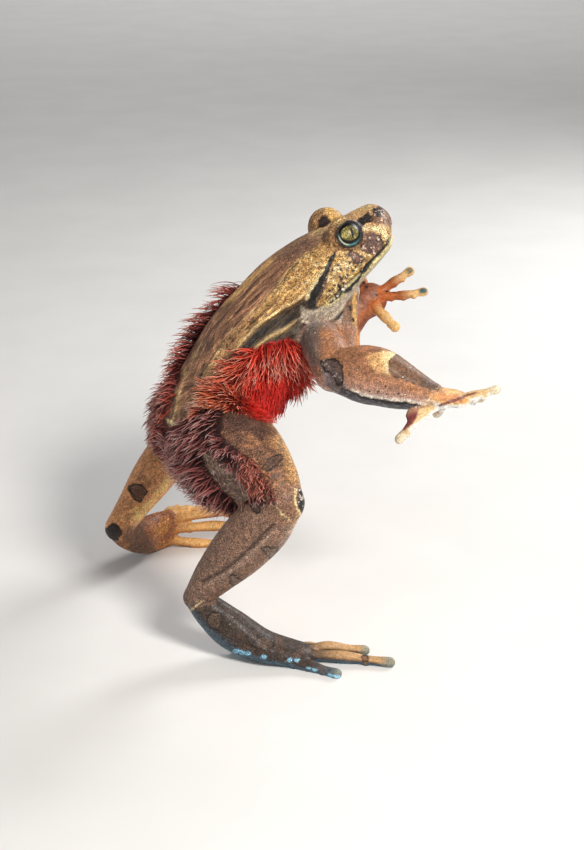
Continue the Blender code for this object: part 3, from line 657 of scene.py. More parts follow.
# Ridges and grooves on the body: pixels and half width, then height in millimetres
BODY_RIDGES = [
    ([(334, 253, 1.2), (327, 265, 1.8), (317, 281, 2.0), (309, 299, 2.0), (306, 306, 1.2)], 0.50),
    ([(322, 275, 1.0), (312, 287, 2.0), (300, 298, 2.2), (286, 307, 2.2), (268, 318, 2.2), (255, 328, 2.0),
      (243, 342, 1.6), (237, 350, 0.8)], 0.75),
    ([(296, 320, 1.0), (288, 327, 2.0), (268, 338, 2.2), (251, 350, 1.0)], 0.40),
    ([(274, 290, 1.2), (254, 311, 1.8), (243, 322, 2.0), (228, 335, 1.8), (220, 348, 1.6), (212, 361, 1.4),
      (204, 374, 1.0)], 0.42),
    ([(237, 290, 1.0), (206, 331, 1.4), (192, 362, 1.4), (181, 385, 1.4), (174, 418, 1.4)], 0.35),
    ([(168, 421, 1.6), (181, 428, 1.6)], 0.55),
    ([(300, 303, 1.4), (283, 315, 2.0), (262, 331, 2.2), (248, 346, 1.4)], -0.55),
    ([(331, 259, 1.2), (325, 272, 1.8), (318, 287, 2.2), (312, 303, 2.0)], -0.35),
]
SHANK_GROOVE = [(273, 525, 1.5), (247, 552, 2.6), (225, 570, 2.6), (202, 582, 1.5)]


def srgb(r, g, b):
    """A colour as seen on a screen, 0 to 255, as linear light."""
    c = np.array((r, g, b), float) / 255.0
    return np.where(c <= 0.04045, c / 12.92, ((c + 0.055) / 1.055) ** 2.4)


def make_skin():
    """The whole skin, its features, and what each vertex needs for its marks."""
    shells, parts, places, owners, runs = build_form()
    skin = fuse(shells)
    skin.soften(6)
    normal = skin.normals()
    crease = np.sum((skin.blurred(skin.verts) - skin.verts) * normal, 1)
    crease = smooth(0.012, 0.05, crease)
    for _ in range(5):
        crease = np.maximum(crease, skin.blurred(crease) * 1.25)
    skin.melt(26, np.clip(crease, 0, 1)[:, None])
    lids = carve_lids(skin)
    skin.soften(2)

    owner, run, share, side_way, up_way = place_all(skin.verts, parts, places, owners, runs)
    part = np.array([name for name, _, _ in parts])[owner]
    claim_hips(skin.verts, part, run, share, side_way, up_way)
    facts = {
        "part": part, "digit": np.array([digit for _, digit, _ in parts])[owner],
        "run": run, "share": share, "side": side_way, "up": up_way, "lids": lids,
    }
    facts["body"] = facts["part"] == "body"
    normal = skin.normals()
    canon, canon_normal = skin.verts.copy(), normal.copy()
    flip = facts["body"] & (side_way > 0)
    left = body_frame(run[flip])[1]
    canon[flip] -= 2 * side_way[flip, None] * left
    canon_normal[flip] -= 2 * np.sum(canon_normal[flip] * left, 1)[:, None] * left
    facts["mirrored"] = pixels(canon)
    eye_spot = TARGET + BACK * RANGE
    facts["seen"] = smooth(0.0, 0.30, np.sum(canon_normal * unit(eye_spot - canon), 1))
    facts["canon"], facts["real"] = canon, pixels(skin.verts)
    facts["facing"] = np.sum(normal * unit(eye_spot - skin.verts), 1)
    facts["elevation"] = np.degrees(np.arctan2(up_way, np.abs(side_way)))

    body, uv, seen = facts["body"], facts["mirrored"], facts["seen"]
    lift = np.zeros(len(body))
    for line, height in BODY_RIDGES:
        wobble = 0.75 + 0.35 * noise(canon, 1.4, 5)
        lift += np.where(body, ridge(uv, line) * height * wobble * seen, 0.0)
    head = body & (run < 37)
    level, fade = up_way, smooth(37.0, 31.0, run)
    lift -= np.where(head, 0.60 * np.exp(-((level / 0.42) ** 2)) * fade, 0)
    lift += np.where(head, 0.20 * np.exp(-(((level - 1.1) / 0.6) ** 2)) * fade, 0)
    lift += np.where(head, 0.22 * np.exp(-(((level + 1.1) / 0.6) ** 2)) * fade, 0)
    streak = np.stack([side_way, up_way, run * 0.14], 1)
    back = body & (facts["elevation"] > -12)
    lift += np.where(back, layered(streak, 1.5, 3, 2) * 0.24 * smooth(18, 42, run), 0)
    lift += np.where(body, layered(canon, 2.2, 9, 2) * 0.05, 0)
    for side in (-1, 1):
        nose, left, rise, _ = body_frame(NOSTRIL_BACK)
        spot = nose + left * (NOSTRIL_OUT * side) + rise * NOSTRIL_UP
        gap = np.linalg.norm(skin.verts - spot, axis=1)
        lift += 0.25 * np.exp(-(((gap - 1.3) / 0.45) ** 2)) - 1.0 * np.exp(-((gap / 0.75) ** 2))
    shank = facts["part"] == "shank_right"
    lift -= np.where(shank, ridge(uv, SHANK_GROOVE) * 0.55 * seen, 0)
    limb = ~body
    lift += np.where(limb & (facts["digit"] == 0), layered(skin.verts, 1.6, 21, 2) * 0.07, 0)
    skin.verts = skin.verts + normal * lift[:, None]
    return skin, facts


# Colours, as seen on a screen
MAUVE, MAUVE_DARK = srgb(164, 118, 88), srgb(104, 74, 58)
GOLD, GOLD_PALE, CREAM = srgb(196, 152, 92), srgb(226, 190, 130), srgb(240, 214, 160)
OLIVE, SOOT = srgb(84, 66, 48), srgb(22, 17, 14)
LILAC, PEARL, THROAT = srgb(150, 140, 134), srgb(236, 222, 206), srgb(178, 165, 150)
SCARLET, MAROON, GROIN = srgb(176, 30, 22), srgb(84, 36, 36), srgb(104, 74, 62)
TAN, ORANGE, AMBER = srgb(172, 120, 76), srgb(214, 132, 76), srgb(226, 168, 88)
SHANK_BROWN, SHANK_HIGHLIGHT = srgb(142, 108, 88), srgb(198, 170, 150)
BLUE, BLUE_GREY, TIP_GREEN = srgb(146, 204, 232), srgb(96, 112, 124), srgb(112, 118, 98)
BELLY = srgb(206, 184, 162)

BACK_LINE = [(352, 210), (343, 220), (334, 229), (325, 239), (300, 257), (288, 270), (274, 290), (252, 316),
             (231, 335), (218, 351), (205, 372), (192, 395), (182, 414)]
FOLD_LINE = [(334, 253), (327, 265), (321, 275), (312, 287), (300, 298), (286, 307), (268, 318), (255, 328),
             (243, 342), (232, 354), (218, 370), (203, 390), (190, 408)]
HAIR_LINE = [(304, 352), (301, 345), (294, 341), (286, 339), (268, 343), (255, 348), (234, 357), (220, 369),
             (206, 388), (192, 402), (183, 416)]
CHEEK = [(336, 253), (347, 251), (362, 257), (371, 256), (378, 252), (383, 243), (385, 238), (382, 252),
         (374, 262), (366, 272), (357, 281), (347, 290), (336, 300), (322, 305), (316, 307), (321, 292), (330, 272)]
LOREAL = [(365, 234), (372, 232), (379, 236), (383, 243), (381, 249), (377, 254), (374, 256), (370, 254),
          (366, 253), (361, 249), (361, 245), (365, 241)]
UNDER_EYE = [(349, 250), (353, 251), (356, 253), (361, 256), (364, 260), (361, 263), (357, 264), (354, 262),
             (352, 259), (350, 255)]
CANTHUS = [(356, 224), (359, 219), (364, 216), (368, 213), (371, 217), (372, 221), (368, 221), (365, 224), (361, 227)]
SNOUT = [(371, 213), (376, 206), (383, 204), (389, 209), (392, 218), (392, 228), (389, 226), (384, 224), (378, 223),
         (372, 225), (371, 219)]
SNOUT_SPOT = [(374, 209), (380, 208), (384, 212), (380, 215), (375, 214)]
LIP_BLOTCH = [(371, 262), (369, 266), (364, 271), (362, 269), (366, 263), (370, 260)]
STRIPE = [(335, 253, 1.4), (330, 261, 2.0), (327, 270, 2.3), (322, 278, 2.7), (318, 287, 3.3), (314, 295, 3.7),
          (311, 303, 3.9), (313, 309, 2.4)]
STRIPE_BROWN = [(327, 276, 1.0), (324, 284, 2.4), (321, 292, 2.6), (318, 299, 2.0)]
LIP_LINE = [(388, 239, 0.9), (385, 245, 1.0), (379, 253.5, 1.5), (371.5, 261, 1.7), (366.5, 266.5, 2.4), (361, 274, 1.0),
            (357.5, 280, 1.9), (350, 288, 1.6), (343, 291, 1.3), (337, 297, 0.9), (330, 303, 0.8)]
CHEEK_DOTS = [(338, 265), (348, 268), (353, 271), (341, 269.5), (355.5, 267), (347.5, 275.5), (345.5, 278),
              (340, 277), (341.5, 279), (366, 273.5), (358.5, 279.5), (360, 283), (333, 270), (350, 263), (335, 285),
              (330, 291), (343, 283), (352, 285), (329, 303), (336, 301), (326, 298)]
CHEEK_MARKS = [[(337, 283), (341, 284), (343, 290), (338, 290)], [(341, 290), (347, 288), (354, 285), (351, 291), (343, 294)],
               [(334, 294), (339, 294), (340, 298), (335, 299)], [(360, 270), (364, 267), (366, 269), (362, 273)]]


def blend(colour, target, share):
    return colour + (target - colour) * np.clip(share, 0, 1)[:, None]


def spread(skin, mask):
    """A mask with a soft edge, about two millimetres wide."""
    mask = mask * 1.0
    for _ in range(9):
        mask = skin.blurred(mask)
    return mask


class Paint:
    """The skin's colour and detail, built up mark by mark."""

    def __init__(self, count):
        self.colour = np.tile(MAUVE, (count, 1))
        self.detail = np.tile(vec(0.5, 0.0, 0.0), (count, 1))  # grain, streaks, warts

    def lay(self, target, share):
        self.colour = blend(self.colour, np.asarray(target), share)

    def texture(self, grain, streak, wart, share):
        self.detail = blend(self.detail, vec(grain, streak, wart), share)

    def rimmed(self, uv, corners, fill, rim, on, width=1.1, share=0.9):
        """A blotch with a dark, uneven rim."""
        deep = inside(uv, corners)
        self.lay(fill, smooth(-0.6, 0.6, deep) * on * share)
        self.lay(rim, smooth(width, 0.2, np.abs(deep)) * on)


def paint_body(paint, skin, facts):
    body, uv, seen, run = facts["body"], facts["mirrored"], facts["seen"], facts["run"]
    canon, high = facts["canon"], facts["elevation"]
    on = spread(skin, body)
    jitter = np.stack([noise(canon, 1.3, 11), noise(canon, 1.3, 12)], 1)
    fine = np.stack([noise(canon, 0.7, 13), noise(canon, 0.7, 14)], 1)
    worn = uv + jitter * 1.0 + fine * 0.5
    streak = np.stack([facts["side"], facts["up"], run * 0.12], 1)
    lines = layered(streak, 1.7, 31, 3)
    mottle = layered(canon, 4.0, 33, 3)

    paint.lay(BELLY, on * smooth(-20, -48, high))
    paint.lay(OLIVE, on * smooth(-42, -15, high))
    paint.lay(MAUVE, on * smooth(5, 25, high))
    thin = layered(streak, 0.9, 43, 2)
    paint.lay(MAUVE_DARK, on * smooth(5, 25, high) * smooth(0.05, 0.35, lines) * 0.85)
    paint.lay(SOOT * 3, on * smooth(5, 25, high) * smooth(0.25, 0.55, thin) * 0.6)
    paint.lay(srgb(188, 142, 98), on * smooth(10, 30, high) * smooth(0.2, 0.5, -lines) * 0.55)
    paint.lay(srgb(176, 128, 92), on * smooth(10, 30, high) * smooth(0.25, 0.55, -thin) * 0.55)
    paint.texture(0.5, 0.8, 0.0, on * smooth(30, 45, run))

    # Gold bands on each side of the back
    band = patch(worn, BACK_LINE + FOLD_LINE[::-1] + [(345, 236)], 0.9) * on
    band = np.maximum(band, patch(worn, BACK_LINE[:5] + [(309, 290), (334, 253), (340, 240)], 0.8) * on)
    rear = smooth(262, 225, uv[:, 0] - (uv[:, 1] - 300) * 0.3)
    paint.lay(GOLD, band * (1 - 0.55 * rear))
    paint.lay(srgb(120, 86, 56), band * rear * 0.35)
    paint.lay(GOLD_PALE, band * smooth(0.0, 0.5, mottle) * (1 - 0.6 * rear) * 0.6)
    paint.lay(TAN * 0.62, band * smooth(0.05, 0.40, lines) * 0.85)
    paint.lay(MAUVE_DARK, band * smooth(0.2, 0.6, -mottle) * smooth(255, 225, uv[:, 0]) * 0.8)
    paint.lay(SOOT * 3, band * smooth(0.34, 0.50, noise(canon, 1.0, 35)) * 0.75)
    paint.lay(srgb(112, 78, 48), band * smooth(0.1, 0.4, thin) * 0.6)
    paint.lay(GOLD_PALE, band * smooth(0.2, 0.5, -thin) * (1 - 0.5 * rear) * 0.5)
    paint.texture(0.6, 0.5, 0.0, band)
    upper = band * smooth(262, 282, uv[:, 0] - (uv[:, 1] - 290) * 0.4)
    paint.lay(srgb(214, 166, 100), upper * 0.6)
    paint.lay(srgb(138, 92, 52), upper * smooth(0.22, 0.42, noise(canon, 0.85, 37)) * 0.85)
    paint.lay(CREAM, upper * smooth(0.25, 0.5, noise(canon, 0.8, 38)) * 0.5)
    paint.texture(0.9, 0.1, 0.0, upper)
    # Pale gold strokes along the back's ridges, broken up by the streak pattern: painted highlights (glints) on the
    # ridges.
    for line, share in (
        ([(274, 290, 1.0), (254, 311, 1.6), (243, 322, 1.8), (228, 335, 1.6), (220, 348, 1.6), (212, 361, 1.4), (204, 374, 1.0)], 0.75),
        ([(343, 222, 1.6), (334, 231, 2.2), (325, 240.5, 1.6), (300, 257.5, 1.0), (288, 270, 0.8), (274, 290, 0.7)], 0.85),
        ([(237, 290, 0.8), (206, 331, 1.0), (192, 362, 1.0), (181, 385, 1.4), (174, 418, 1.5)], 0.7),
        ([(238, 350, 0.7), (222, 366, 0.9), (208, 384, 0.9), (194, 404, 0.8)], 0.5),
    ):
        paint.lay(GOLD_PALE, stroke(worn, line, 1.0) * on * share * smooth(-0.6, 0.2, lines + mottle))
    # A bright gold line along the back's far outline: painted rim light.
    rim = [(222, 305, 2.0), (233, 297, 2.6), (244, 286, 2.8), (256, 274, 2.8), (271, 260, 3.0), (285, 248, 3.2), (299, 239, 3.4), (313, 232, 3.0)]
    real = pixels(skin.verts) + jitter
    far = on * smooth(5, 20, high)
    paint.lay(srgb(236, 182, 116), stroke(real, rim, 1.4) * far * smooth(-0.9, -0.2, lines + mottle) * 0.95)
    paint.lay(CREAM, stroke(worn, [(167, 420, 1.6), (174, 424, 1.8), (182, 428, 1.6)], 1.0) * on)
    paint.lay(SOOT * 2, stroke(worn, BACK_LINE_DARK, 1.0) * on * 0.75 * smooth(-0.6, 0.1, lines))

    # Flank under the fold, then the wrinkles there
    flank = patch(worn, FOLD_LINE + HAIR_LINE[::-1] + [(313, 345), (316, 312)], 1.6) * on
    paint.lay(OLIVE * 0.6, flank)
    paint.lay(GOLD * 0.7, flank * smooth(0.1, 0.5, layered(streak, 2.4, 41, 2)) * 0.65)
    paint.lay(SOOT, flank * smooth(0.05, 0.40, -lines) * 0.8)
    paint.lay(srgb(150, 138, 126), patch(worn, [(294, 324), (303, 314), (309, 322), (303, 338), (297, 341), (292, 334)], 2) * on * smooth(-0.4, 0.3, mottle) * 0.8)
    paint.lay(srgb(62, 24, 20), patch(worn, [(303, 326), (309, 320), (316, 330), (316, 352), (306, 352), (302, 340)], 2) * on)
    valley = [(302, 302, 1.2), (283, 315, 2.2), (262, 331, 2.4), (248, 346, 1.6)]
    paint.lay(SOOT * 1.3, stroke(worn, valley, 1.4) * on * smooth(-0.4, 0.2, layered(streak, 1.4, 44, 2)) * 0.85)
    paint.lay(GOLD_PALE, ridge(uv, BODY_RIDGES[2][0]) * on * 0.55)
    fold = ridge(worn, [(x, y, w + 0.3) for x, y, w in BODY_RIDGES[1][0]])
    paint.lay(srgb(222, 170, 104), fold * on * 1.1)
    paint.lay(CREAM, ridge(worn, [(x, y - 0.6, w * 0.5) for x, y, w in BODY_RIDGES[1][0]]) * on * 0.8)
    paint.lay(SOOT * 1.5, stroke(worn, [(x - 1, y + 3.2, 0.9) for x, y, _ in BODY_RIDGES[1][0][1:]], 1.0) * on * 0.75)

    # Head: gold sides, cream granules, dark blotches with black rims
    head = on * smooth(41, 35, run)
    side = head * smooth(8, -2, high - 34)
    crown = head * smooth(24, 34, high) * smooth(26, 18, run + jitter[:, 0] * 2)
    paint.lay(srgb(136, 98, 76), head * smooth(24, 34, high) * patch(worn, WEDGE, 1.0) * 0.75)
    paint.lay(srgb(232, 184, 128), crown)
    paint.lay(GOLD_PALE, crown * smooth(0.05, 0.5, mottle) * 0.7)
    paint.lay(MAUVE_DARK, crown * smooth(0.30, 0.5, noise(canon, 1.6, 36)) * 0.5)
    between_eyes = [(331, 226), (339, 214), (352, 209), (366, 206), (373, 211), (358, 220), (347, 229), (338, 235)]
    paint.lay(srgb(228, 172, 110), patch(real, between_eyes, 1.8) * far * smooth(-0.5, 0.1, lines) * 0.6)
    face = head * smooth(-1.2, -0.3, facts["up"])
    cheek = np.maximum(patch(worn, CHEEK, 1.2), smooth(26, 12, run) * smooth(30, 20, high)) * face
    paint.lay(srgb(184, 144, 80), cheek)
    paint.lay(srgb(124, 86, 46), cheek * smooth(0.06, 0.34, noise(canon, 0.8, 52)) * 0.8)
    paint.lay(srgb(242, 214, 156), cheek * smooth(0.16, 0.40, noise(canon, 0.66, 51)) * 0.85)
    paint.texture(1.0, 0.0, 0.25, head)
    paint.texture(1.0, 0.0, 0.7, cheek)
    lids = facts["lids"]
    paint.lay(srgb(150, 104, 64), smooth(9.6, 7.4, np.linalg.norm(canon - eye_frame(-1)[0], axis=1)) * head * 0.7)
    paint.lay(GOLD_PALE, head * smooth(2.4, 1.8, lids) * smooth(0.0, 0.4, noise(canon, 0.9, 53)) * 0.7)
    paint.lay(srgb(92, 54, 40), head * smooth(1.45, 1.25, lids) * 0.9)
    paint.lay(srgb(214, 176, 118), head * smooth(1.3, 1.2, lids) * smooth(0.1, 0.4, noise(canon, 1.1, 58)) * 0.7)
    paint.lay(SOOT, head * smooth(1.16, 1.06, lids))
    paint.lay(CREAM, patch(worn, [(362, 227), (374, 226), (385, 226), (388, 236), (387, 243), (384, 238), (380, 233), (371, 230), (364, 231)], 1.2) * head * 0.85)
    top = patch(worn, [(335, 226), (340, 216), (352, 209), (366, 205), (372, 206), (368, 211), (358, 217), (350, 219), (343, 224)], 1.2)
    paint.lay(GOLD_PALE, top * head * smooth(-0.3, 0.4, mottle) * 0.6)
    paint.lay(srgb(128, 92, 66), patch(worn, SNOUT, 1.2) * face)
    paint.lay(srgb(104, 74, 62), patch(worn, LOREAL, 1.0) * face)
    paint.lay(SOOT, smooth(1.0, 0.2, np.abs(inside(worn, LOREAL))) * face * smooth(-0.2, 0.3, noise(canon, 2.0, 54)))
    for corners in (CANTHUS, SNOUT_SPOT):
        paint.lay(srgb(50, 40, 38), patch(worn, corners, 0.8) * face)
        paint.lay(SOOT, smooth(1.6, 0.4, np.abs(inside(worn, corners))) * face * 0.9)
    paint.rimmed(worn, UNDER_EYE, srgb(112, 72, 62), SOOT, face, 1.4)
    dotted = np.maximum(patch(worn, LOREAL, 1.0), np.maximum(patch(worn, SNOUT, 1.0), patch(worn, UNDER_EYE, 1.0)))
    paint.lay(srgb(222, 190, 164), dotted * face * smooth(0.46, 0.64, noise(canon, 0.75, 55)) * 0.8)
    paint.lay(CREAM, stroke(worn, [(333, 255, 0.9), (325, 268, 1.8), (315, 283, 2.2), (307, 298, 2.0)], 0.9) * on * seen)
    paint.lay(srgb(80, 58, 46), stroke(worn, STRIPE_BROWN, 1.0) * on * seen * 0.9)
    paint.lay(srgb(200, 172, 136), stroke(uv, STRIPE_BROWN, 0.8) * on * seen * smooth(0.48, 0.62, noise(canon, 0.7, 56)))
    paint.lay(SOOT, stroke(worn, STRIPE, 0.6) * on * seen)
    dots = np.min([np.hypot(*(uv + fine * 0.4 - dot).T) for dot in np.array(CHEEK_DOTS, float)], axis=0)
    paint.lay(SOOT * 0.7, smooth(1.7, 1.1, dots) * face)

    # Lips, lower jaw and throat
    level = facts["up"]
    jaw = head * smooth(0.1, -0.4, level)
    paint.lay(srgb(206, 190, 134), jaw * smooth(-5.0, -0.5, level))
    paint.lay(THROAT, jaw * smooth(-1.5, -4.5, level))
    paint.lay(LILAC, jaw * smooth(0.1, 0.5, mottle) * smooth(-2, -5, level) * 0.7)
    paint.lay(SOOT, head * smooth(0.55, 0.2, np.abs(level)) * smooth(36, 32, run) * (0.55 + 0.45 * smooth(-0.2, 0.2, noise(canon, 3.0, 57))))
    border = head * smooth(-6.0, -4.5, level) * seen
    paint.lay(SOOT * 0.7, stroke(worn, LIP_LINE, 0.7) * border)
    for corners in CHEEK_MARKS + [LIP_BLOTCH]:
        paint.lay(SOOT * 0.7, patch(worn, corners, 0.7) * border)
    for x, y in ((343.5, 289.5), (337.5, 296), (334, 299), (346, 286)):
        paint.lay(PEARL, smooth(1.4, 0.7, np.hypot(uv[:, 0] - x, uv[:, 1] - y)) * border)
    paint.texture(0.5, 0.1, 0.1, jaw)
    left_spot = [(317, 220), (322, 216), (328, 217), (331, 222), (327, 227), (318, 228)]
    beyond = head * (facts["side"] > 2)
    paint.lay(srgb(226, 178, 100), patch(real, [(324, 203), (334, 202), (343, 210), (341, 222), (334, 228), (330, 218), (325, 212)], 1.2) * beyond * 0.85)
    paint.lay(srgb(50, 36, 30), patch(real, left_spot, 1.0) * beyond)

    # Under the coat, and the pale flap of skin between the jaw and the arm
    flap = [(301, 306), (309, 310), (316, 309), (330, 305), (345, 298), (349, 304), (338, 316), (320, 327), (308, 326), (302, 316)]
    on_side = on * seen
    paint.lay(srgb(168, 154, 136), patch(worn, flap, 1.6) * on_side * 0.9)
    paint.lay(srgb(212, 194, 166), patch(worn, flap, 1.6) * on_side * smooth(0.0, 0.4, noise(canon, 1.3, 59)) * 0.5)
    paint.lay(srgb(232, 214, 186), stroke(worn, [(303, 321, 1.2), (316, 325, 1.5), (332, 318, 1.5), (346, 303, 1.2)], 0.8) * on_side * 0.9)
    # A dark line just below the flap's lower edge: painted shadow of the flap.
    paint.lay(srgb(44, 34, 30), stroke(worn, [(304, 327, 1.4), (318, 330, 2.0), (334, 322, 2.0), (348, 308, 1.6)], 1.0) * on_side * 0.95)
    neck = patch(worn, [(346, 302), (357, 290), (360, 300), (359, 345), (352, 340), (342, 322)], 1.2)
    paint.lay(srgb(124, 94, 74), neck * on_side)
    paint.lay(srgb(206, 160, 92), stroke(worn, [(354.5, 292, 1.8), (354.5, 320, 2.0), (356, 345, 2.4)], 1.0) * on_side)
    for x, y in ((350, 307), (350.5, 309.5), (353, 319), (353.5, 321)):
        paint.lay(SOOT, smooth(1.8, 1.0, np.hypot(uv[:, 0] - x, uv[:, 1] - y)) * on_side)
    coat = facts["coat"]
    deep = smooth(236, 268, uv[:, 0])
    red = SCARLET * deep[:, None] + srgb(86, 42, 28) * (1 - deep)[:, None]
    paint.lay(red, on * coat)


BACK_LINE_DARK = [(298, 262, 0.6), (272, 293, 0.9), (250, 319, 1.0), (229, 338, 1.0), (215, 354, 1.0), (200, 378, 0.9)]

THIGH_BAR = [(262, 469), (266, 462), (272, 456), (281, 455), (283, 459), (276, 466), (268, 471)]
KNEE_BLACK = [(299, 489), (301, 487), (304, 492), (306, 502), (304, 511), (301, 513), (299, 507), (297, 503),
              (298, 496)]
KNEE_BLOTCH = [(250, 503), (254, 499), (260, 500), (261, 508), (258, 513), (253, 511)]
SHANK_BLOTCHES = [[(261, 548), (266, 546), (272, 549), (278, 547), (276, 553), (271, 559), (266, 553)],
                  [(229, 577), (232, 574), (240, 579), (243, 583), (236, 586), (231, 583)]]
ELBOW_PATCH = [(320, 361), (327, 359), (334, 359), (342, 366), (343, 375), (342, 385), (337, 384), (333, 375), (325, 370)]
SADDLE = [(390, 360), (395, 355), (402, 355), (412, 360), (424, 370), (434, 379), (442, 386), (438, 390), (428, 388),
          (414, 384), (404, 379), (397, 378), (391, 374), (388, 368)]
FOOT_BARS = [[(208, 616), (213, 612), (220, 613), (222, 620), (218, 630), (211, 628), (207, 622)],
             [(252, 645), (257, 638), (265, 636), (274, 640), (272, 648), (264, 651)]]
FAR_BLOTCH = [(129, 487), (134, 484), (142, 485), (147, 491), (145, 495), (140, 502), (134, 500), (131, 494)]
HEEL_SPOT = [(106, 530), (112, 524), (119, 526), (122, 532), (118, 540), (110, 542), (106, 537)]


def paint_limbs(paint, skin, facts):
    part, digit, share, seen = facts["part"], facts["digit"], facts["share"], facts["seen"]
    verts, uv = skin.verts, facts["mirrored"]
    jitter = np.stack([noise(verts, 1.3, 11), noise(verts, 1.3, 12)], 1)
    worn = uv + jitter * 0.9 + np.stack([noise(verts, 0.7, 13), noise(verts, 0.7, 14)], 1) * 0.5
    mottle, speck = layered(verts, 4.0, 33, 3), noise(verts, 0.8, 61)
    up = facts["normal"][:, 2]
    front = facts["normal"][:, 0]

    def on(*names):
        return spread(skin, np.isin(part, names))

    # Arms
    arms = on("upper_arm_right", "forearm_right", "upper_arm_left", "forearm_left")
    paint.lay(srgb(164, 112, 78), arms)
    paint.lay(srgb(200, 136, 84), arms * smooth(0.0, 0.5, mottle) * 0.55)
    paint.lay(srgb(116, 82, 64), arms * smooth(0.0, 0.5, -mottle) * 0.35)
    paint.lay(srgb(120, 88, 70), arms * smooth(0.1, 0.5, speck) * 0.35)
    paint.texture(0.55, 0.0, 1.0, arms)
    near = on("upper_arm_right")
    paint.lay(srgb(104, 96, 92), near * smooth(325, 314, uv[:, 0] + jitter[:, 0] * 2) * 0.85)
    paint.lay(LILAC * 0.8, near * smooth(332, 322, uv[:, 1]) * 0.7)
    near = on("forearm_right", "upper_arm_right")
    lower = smooth(0.10, -0.65, up)
    paint.lay(srgb(184, 146, 130), near * smooth(0.35, -0.3, up) * 0.85)
    paint.lay(srgb(226, 208, 200), near * on("forearm_right") * smooth(-0.15, -0.55, up) * 0.85)
    paint.lay(srgb(228, 180, 116), patch(worn, [(368, 356), (385, 350), (396, 353), (390, 358), (388, 366), (390, 376), (380, 372), (370, 366)], 3) * near * seen * 0.75)
    paint.lay(CREAM, patch(worn, [(382, 351), (396, 352), (398, 355), (391, 358), (387, 365), (389, 374), (385, 372), (383, 360)], 2) * near * seen * 0.8)
    paint.rimmed(worn, SADDLE, srgb(108, 74, 48), SOOT * 2, near * seen, 0.8, 0.9)
    # A darker patch below the saddle, towards the wrist: painted shade.
    paint.lay(srgb(92, 74, 62), patch(worn, [(420, 376), (432, 382), (440, 388), (432, 390), (420, 384)], 1.6) * near * seen * 0.7)
    # A grey patch round the elbow: painted shade at the joint.
    paint.lay(srgb(104, 96, 98), patch(worn, [(320, 364), (330, 372), (342, 380), (350, 394), (338, 398), (325, 384)], 2.5) * near * seen * 0.85)
    paint.rimmed(worn, ELBOW_PATCH, srgb(84, 72, 70), SOOT, near * seen, 1.5, 0.9)
    paint.lay(srgb(200, 186, 178), patch(uv, ELBOW_PATCH, 0.8) * near * smooth(0.4, 0.6, speck) * 0.7)
    under = [(341, 388, 0.4), (352, 392, 1.0), (362, 397, 1.3), (376, 400, 1.5), (392, 402.5, 1.6), (408, 403.5, 1.3), (418, 405, 0.9), (426, 407, 0.6)]
    # The grey-dark strip along the forearm's underside, below the black line, is painted shade with a grey speckle.
    below = patch(worn, [(x, y) for x, y, _ in under] + [(424, 416), (400, 414), (372, 411), (350, 402), (338, 393)], 1.0) * near
    paint.lay(srgb(74, 72, 78), below)
    paint.lay(srgb(150, 150, 158), below * smooth(0.2, 0.5, speck) * 0.5)
    # The underside turned away from the camera gets the same painted shade.
    paint.lay(srgb(72, 70, 76), near * smooth(-0.60, -0.80, up) * (1 - seen))
    paint.lay(PEARL, stroke(worn, [(x, y - 2.6, 1.3) for x, y, _ in under[1:]], 1.2) * near * 0.9)
    paint.lay(SOOT, stroke(worn, under, 0.9) * near)
    for x, y in ((361, 389), (370, 391), (378, 392), (387, 394), (399, 394), (385.5, 386)):
        paint.lay(SOOT, smooth(1.3, 0.7, np.hypot(worn[:, 0] - x, worn[:, 1] - y)) * near * seen)
    far = on("forearm_left", "upper_arm_left")
    paint.lay(srgb(148, 84, 50), far)
    paint.lay(srgb(120, 66, 46), far * smooth(0, 0.5, mottle) * 0.8)
    paint.lay(srgb(206, 146, 76), far * smooth(0.3, 0.8, -front) * 0.6)
    paint.lay(srgb(222, 158, 88), far * on("forearm_left") * smooth(0.45, 0.8, front) * 0.6)

    # Hands
    near = on("hand_right")
    paint.texture(0.35, 0.0, 0.0, on("hand_right", "hand_left"))
    paint.lay(srgb(214, 168, 108), near)
    paint.lay(srgb(196, 132, 84), near * (digit == 0) * smooth(0.1, 0.6, up) * smooth(0.0, 0.5, mottle + 0.3))
    paint.lay(srgb(218, 184, 134), near * (digit > 0) * smooth(-0.2, 0.5, up) * 0.9)
    paint.lay(srgb(246, 240, 230), near * (digit > 0) * smooth(0.25, -0.2, up))
    paint.lay(srgb(250, 246, 238), near * (digit == 0) * smooth(0.2, -0.4, up))
    paint.lay(srgb(230, 214, 184), near * (digit > 0) * smooth(0.72, 0.86, share) * 0.9)
    paint.lay(srgb(112, 56, 50), stroke(worn, [(440, 405, 1.3), (450, 401.5, 1.7), (462, 397.5, 1.5), (476, 393, 0.9)], 0.7) * near * seen * 0.9)
    paint.lay(srgb(128, 66, 62), patch(worn, [(401, 427), (404, 414), (411, 406), (420, 408), (416, 418), (411, 426), (404, 430)], 1.0) * near)
    far = on("hand_left")
    palm = smooth(0.1, -0.4, facts["normal"][:, 1])
    paint.lay(srgb(156, 90, 50), far)
    paint.lay(srgb(112, 58, 38), far * palm * (digit == 0) * smooth(-0.5, 0.3, mottle))
    paint.lay(srgb(178, 96, 48), far * (digit > 0) * smooth(0.55, 0.25, share))
    paint.lay(srgb(222, 182, 126), far * (digit > 0) * smooth(0.45, 0.8, share) * 0.9)
    paint.lay(srgb(226, 182, 118), far * (digit == 4) * smooth(0.1, 0.5, share) * 0.8)
    tip = far * (digit > 0) * smooth(0.80, 0.88, share) * smooth(0.72, 0.90, np.abs(facts["normal"] @ unit(vec(0.0, -0.85, 0.5))))
    paint.lay(srgb(116, 114, 86), tip * np.isin(digit, (1, 2)))
    paint.lay(srgb(66, 98, 96), tip * (digit == 3))
